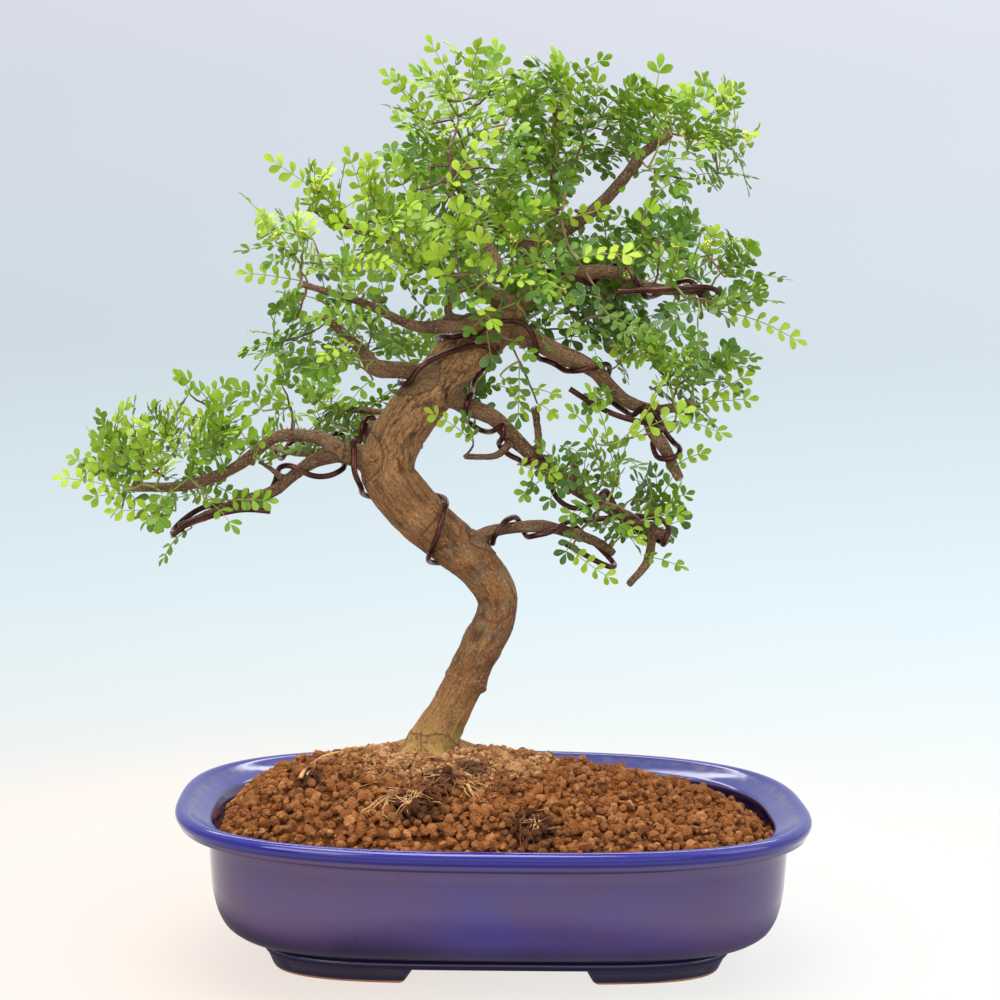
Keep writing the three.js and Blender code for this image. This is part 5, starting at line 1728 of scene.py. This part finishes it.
buds = []
for pad_name, (centre, half, bud_count, middle_age, age_spread) in PADS.items():
    centre, half = Vector(centre), Vector(half)
    placed = []
    tries = 0
    while len(placed) < bud_count and tries < BUD_TRIES:
        tries += 1
        spot = Vector([chance.uniform(-1, 1) for _ in range(3)])
        if not BUD_HOLLOW <= spot.length <= BUD_REACH:
            continue
        place = centre + Vector((spot.x * half.x, spot.y * half.y, spot.z * half.z))
        if all((place - other[0]).length > BUDS_APART for other in placed):
            placed.append((place, spot))
    placed.sort(key=lambda entry: entry[1].length)
    for place, spot in placed:
        away = Vector((spot.x / half.x, spot.y / half.y, spot.z / half.z)).normalized()
        grow_twig(place, away, chance)
        buds.append((pad_name, place, away, middle_age, age_spread, spot.length))

for pad_name, place, away, middle_age, age_spread, depth in buds:
    spray = sprays[pad_name]
    centre, half = (Vector(value) for value in PADS[pad_name][:2])
    for _ in range(chance.randint(*LEAVES_PER_BUD)):
        for _ in range(LEAF_TRIES):
            heading = away + Vector((0, 0, 0.4)) + Vector([chance.gauss(0, 0.66) for _ in range(3)])
            tip = place + heading.normalized() * chance.uniform(*LEAF_LENGTHS)
            inside = Vector([(tip[k] - centre[k]) / half[k] for k in range(3)]).length
            covers = hides_wood(place, tip)
            if inside < PAD_EDGE and not covers:
                break
        if covers and chance.random() > HIDES_WOOD_ANYWAY:
            continue
        if inside > PAD_EDGE:
            tip = place.lerp(tip, max(0.5, 1 - (inside - PAD_EDGE) * 1.2))
        lean = Vector([chance.gauss(0, 0.3) for _ in range(3)])
        blade_up = outward(tip) * 0.8 + Vector((0, 0, 0.55)) + lean
        # Leaves are younger, so paler and yellower, towards the top and the outside of each pad, and
        # older and darker deep inside it: partly the new growth at the tips and partly painted light on
        # the top of the pad and painted shade inside it.
        height_share = (tip.z - centre.z) / half.z
        age = middle_age - 0.16 * height_share - 0.25 * (depth - 0.5) + chance.gauss(0, age_spread * 0.6)
        age = min(1, max(0, age))
        size = chance.uniform(*LEAFLET_LENGTHS) + 1.2 * (age > 0.8)
        spray.add_leaf(place, tip, blade_up, age, size, chance)


# From new to old leaves.
LEAF_GREENS = [
    (0.0, (0.54, 0.7, 0.035)), (0.25, (0.345, 0.545, 0.025)), (0.5, (0.165, 0.355, 0.02)),
    (0.75, (0.06, 0.188, 0.018)), (1.0, (0.022, 0.1, 0.018)),
]


def leaf_finish(name, shine):
    """Thin green blades: lit from above they are matt or glossy, and against the light
    they glow yellow-green."""
    paint, tree, shader, mottle = worn_finish(name, 260.0, 1800.0)
    age = value_on(tree, "leaf_age")
    spot = axes_of(value_on(tree, "leaflet_place", "Vector"))
    # The vein and the rib are paler, and the rim is a thin pale line.
    vein = product(
        ranged(maths("ABSOLUTE", spot["Y"]), 0.05, 0.02), ranged(age, 0.5, 1.0, 0.4, 0.14))
    rim = product(
        ranged(maths("ABSOLUTE", spot["Z"]), 0.22, 0.08), ranged(age, 0.55, 0.9, 0.0, 0.6))
    colour = layered(
        colour_row(age, LEAF_GREENS),
        (ranged(value_on(tree, "leaf_tone"), 0.0, 1.0, 0.0, 0.25), (0.3, 0.44, 0.02)),
        (ranged(mottle["Blotches"], 0.4, 0.75, 0.0, 0.25), (0.14, 0.28, 0.012)),
        (vein, (0.4, 0.5, 0.1)),
    )
    pale_under = blended(0.45, colour, (0.24, 0.34, 0.09))
    colour = layered(
        colour,
        (ranged(spot["Z"], -0.2, -0.8), pale_under),
        (rim, (0.3, 0.44, 0.16)),
        (ranged(spot["Z"], 1.4, 1.6), (0.3, 0.38, 0.05)),
    )
    feed(shader, {
        "Base Color": colour,
        "Roughness": ranged(age, 0.3, 1.0, 0.5, shine),
        "Specular IOR Level": 0.5,
        "Normal": bumped(mottle["Grain"], 0.15, 0.0002),
    })
    through = blended(0.55, colour, (0.42, 0.58, 0.02))
    glow = add_node(tree, "ShaderNodeBsdfTranslucent", {"Color": through})
    both = {"Fac": 0.4, 1: shader.outputs["BSDF"], 2: glow.outputs["BSDF"]}
    blade = add_node(tree, "ShaderNodeMixShader", both)
    feed(tree.nodes["Material Output"], {"Surface": blade.outputs["Shader"]})
    return paint


leaf_green = leaf_finish("leaf_green", 0.26)
for name, spray in sprays.items():
    points, faces, ages, tones, spots = spray.meshes()
    leaves = mesh_object("leaves_" + name, points, faces)
    leaves.data.set_sharp_from_angle(angle=math.radians(75))
    set_values(leaves, "leaf_age", ages)
    set_values(leaves, "leaf_tone", tones)
    set_values(leaves, "leaflet_place", spots, "FLOAT_VECTOR", "vector")
    leaves.data.materials.append(leaf_green)
    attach(leaves, "root")
    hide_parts("foliage_" + name)

# Flower buds: tight green heads of round buds on short stalks, where new leaves spread.
# They grew there with the leaves.
FLOWER_PADS = ("left_crown", "top_left", "top", "front", "mid_right", "right", "right_lower", "top_right")
FLOWER_HEADS = 46
STALK_RADIUS = 0.35
ROUND_SIZES = (1.2, 1.9)
round_shapes = [crumb(1, 3, k + 80) for k in range(4)]
chance = random.Random(41)
head_points, head_sizes, stalks = [], [], []
flowering = chance.sample([bud for bud in buds if bud[0] in FLOWER_PADS], FLOWER_HEADS)
for pad_name, place, away, *_ in flowering:
    heading = away + Vector((0, -0.8, 0.4)) + Vector([chance.gauss(0, 0.3) for _ in range(3)])
    heading.normalize()
    head = place + heading * chance.uniform(5, 10)
    stalk = np.array([tuple(place.lerp(head, share)) for share in (0, 0.5, 1)])
    stalks.append(tube(stalk, np.full(3, STALK_RADIUS), 5))
    for _ in range(chance.randint(6, 11)):
        turn = Vector([chance.gauss(0, 1) for _ in range(3)]).normalized()
        head_points.append(tuple(head + turn * chance.uniform(0.8, 2.0)))
        head_sizes.append(chance.uniform(*ROUND_SIZES))
round_points, round_faces, _ = scattered(round_shapes, head_points, head_sizes, chance, 0.9)
flower_buds = mesh_object("flower_buds", *gathered([(round_points, round_faces), *stalks]))
bud_skin, tree, shader, marks = worn_finish("bud_skin", 500.0, 2400.0)
feed(shader, {
    "Base Color": blended(ranged(marks["Blotches"], 0.35, 0.65), (0.36, 0.42, 0.05), (0.68, 0.66, 0.12)),
    "Roughness": 0.5,
    "Normal": bumped(marks["Grain"], 0.3, 0.0002),
})
flower_buds.data.materials.append(bud_skin)
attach(flower_buds, "root")

# Twigs: the thin shoots that carry the buds, brown where they are a year old and green
# where they are new. They grew out of the branches, and are too fine to wire.
twigs = mesh_object("fine_twigs", *gathered(twig_tubes))
set_values(twigs, "twig_age", np.concatenate(twig_ages))
twig_skin, tree, shader, marks = worn_finish("twig_skin", 70.0, 1600.0)
old = value_on(tree, "twig_age")
patches = ranged(marks["Blotches"], 0.35, 0.65)
brown = blended(patches, (0.08, 0.035, 0.02), (0.22, 0.12, 0.06))
green = blended(patches, (0.12, 0.16, 0.025), (0.3, 0.33, 0.06))
feed(shader, {
    "Base Color": layered(green, (old, brown), (product(marks["Flecks"], 0.6), (0.5, 0.36, 0.2))),
    "Roughness": 0.7,
    "Normal": bumped(marks["Grain"], 0.4, 0.0003),
})
twigs.data.materials.append(twig_skin)
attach(twigs, "root")
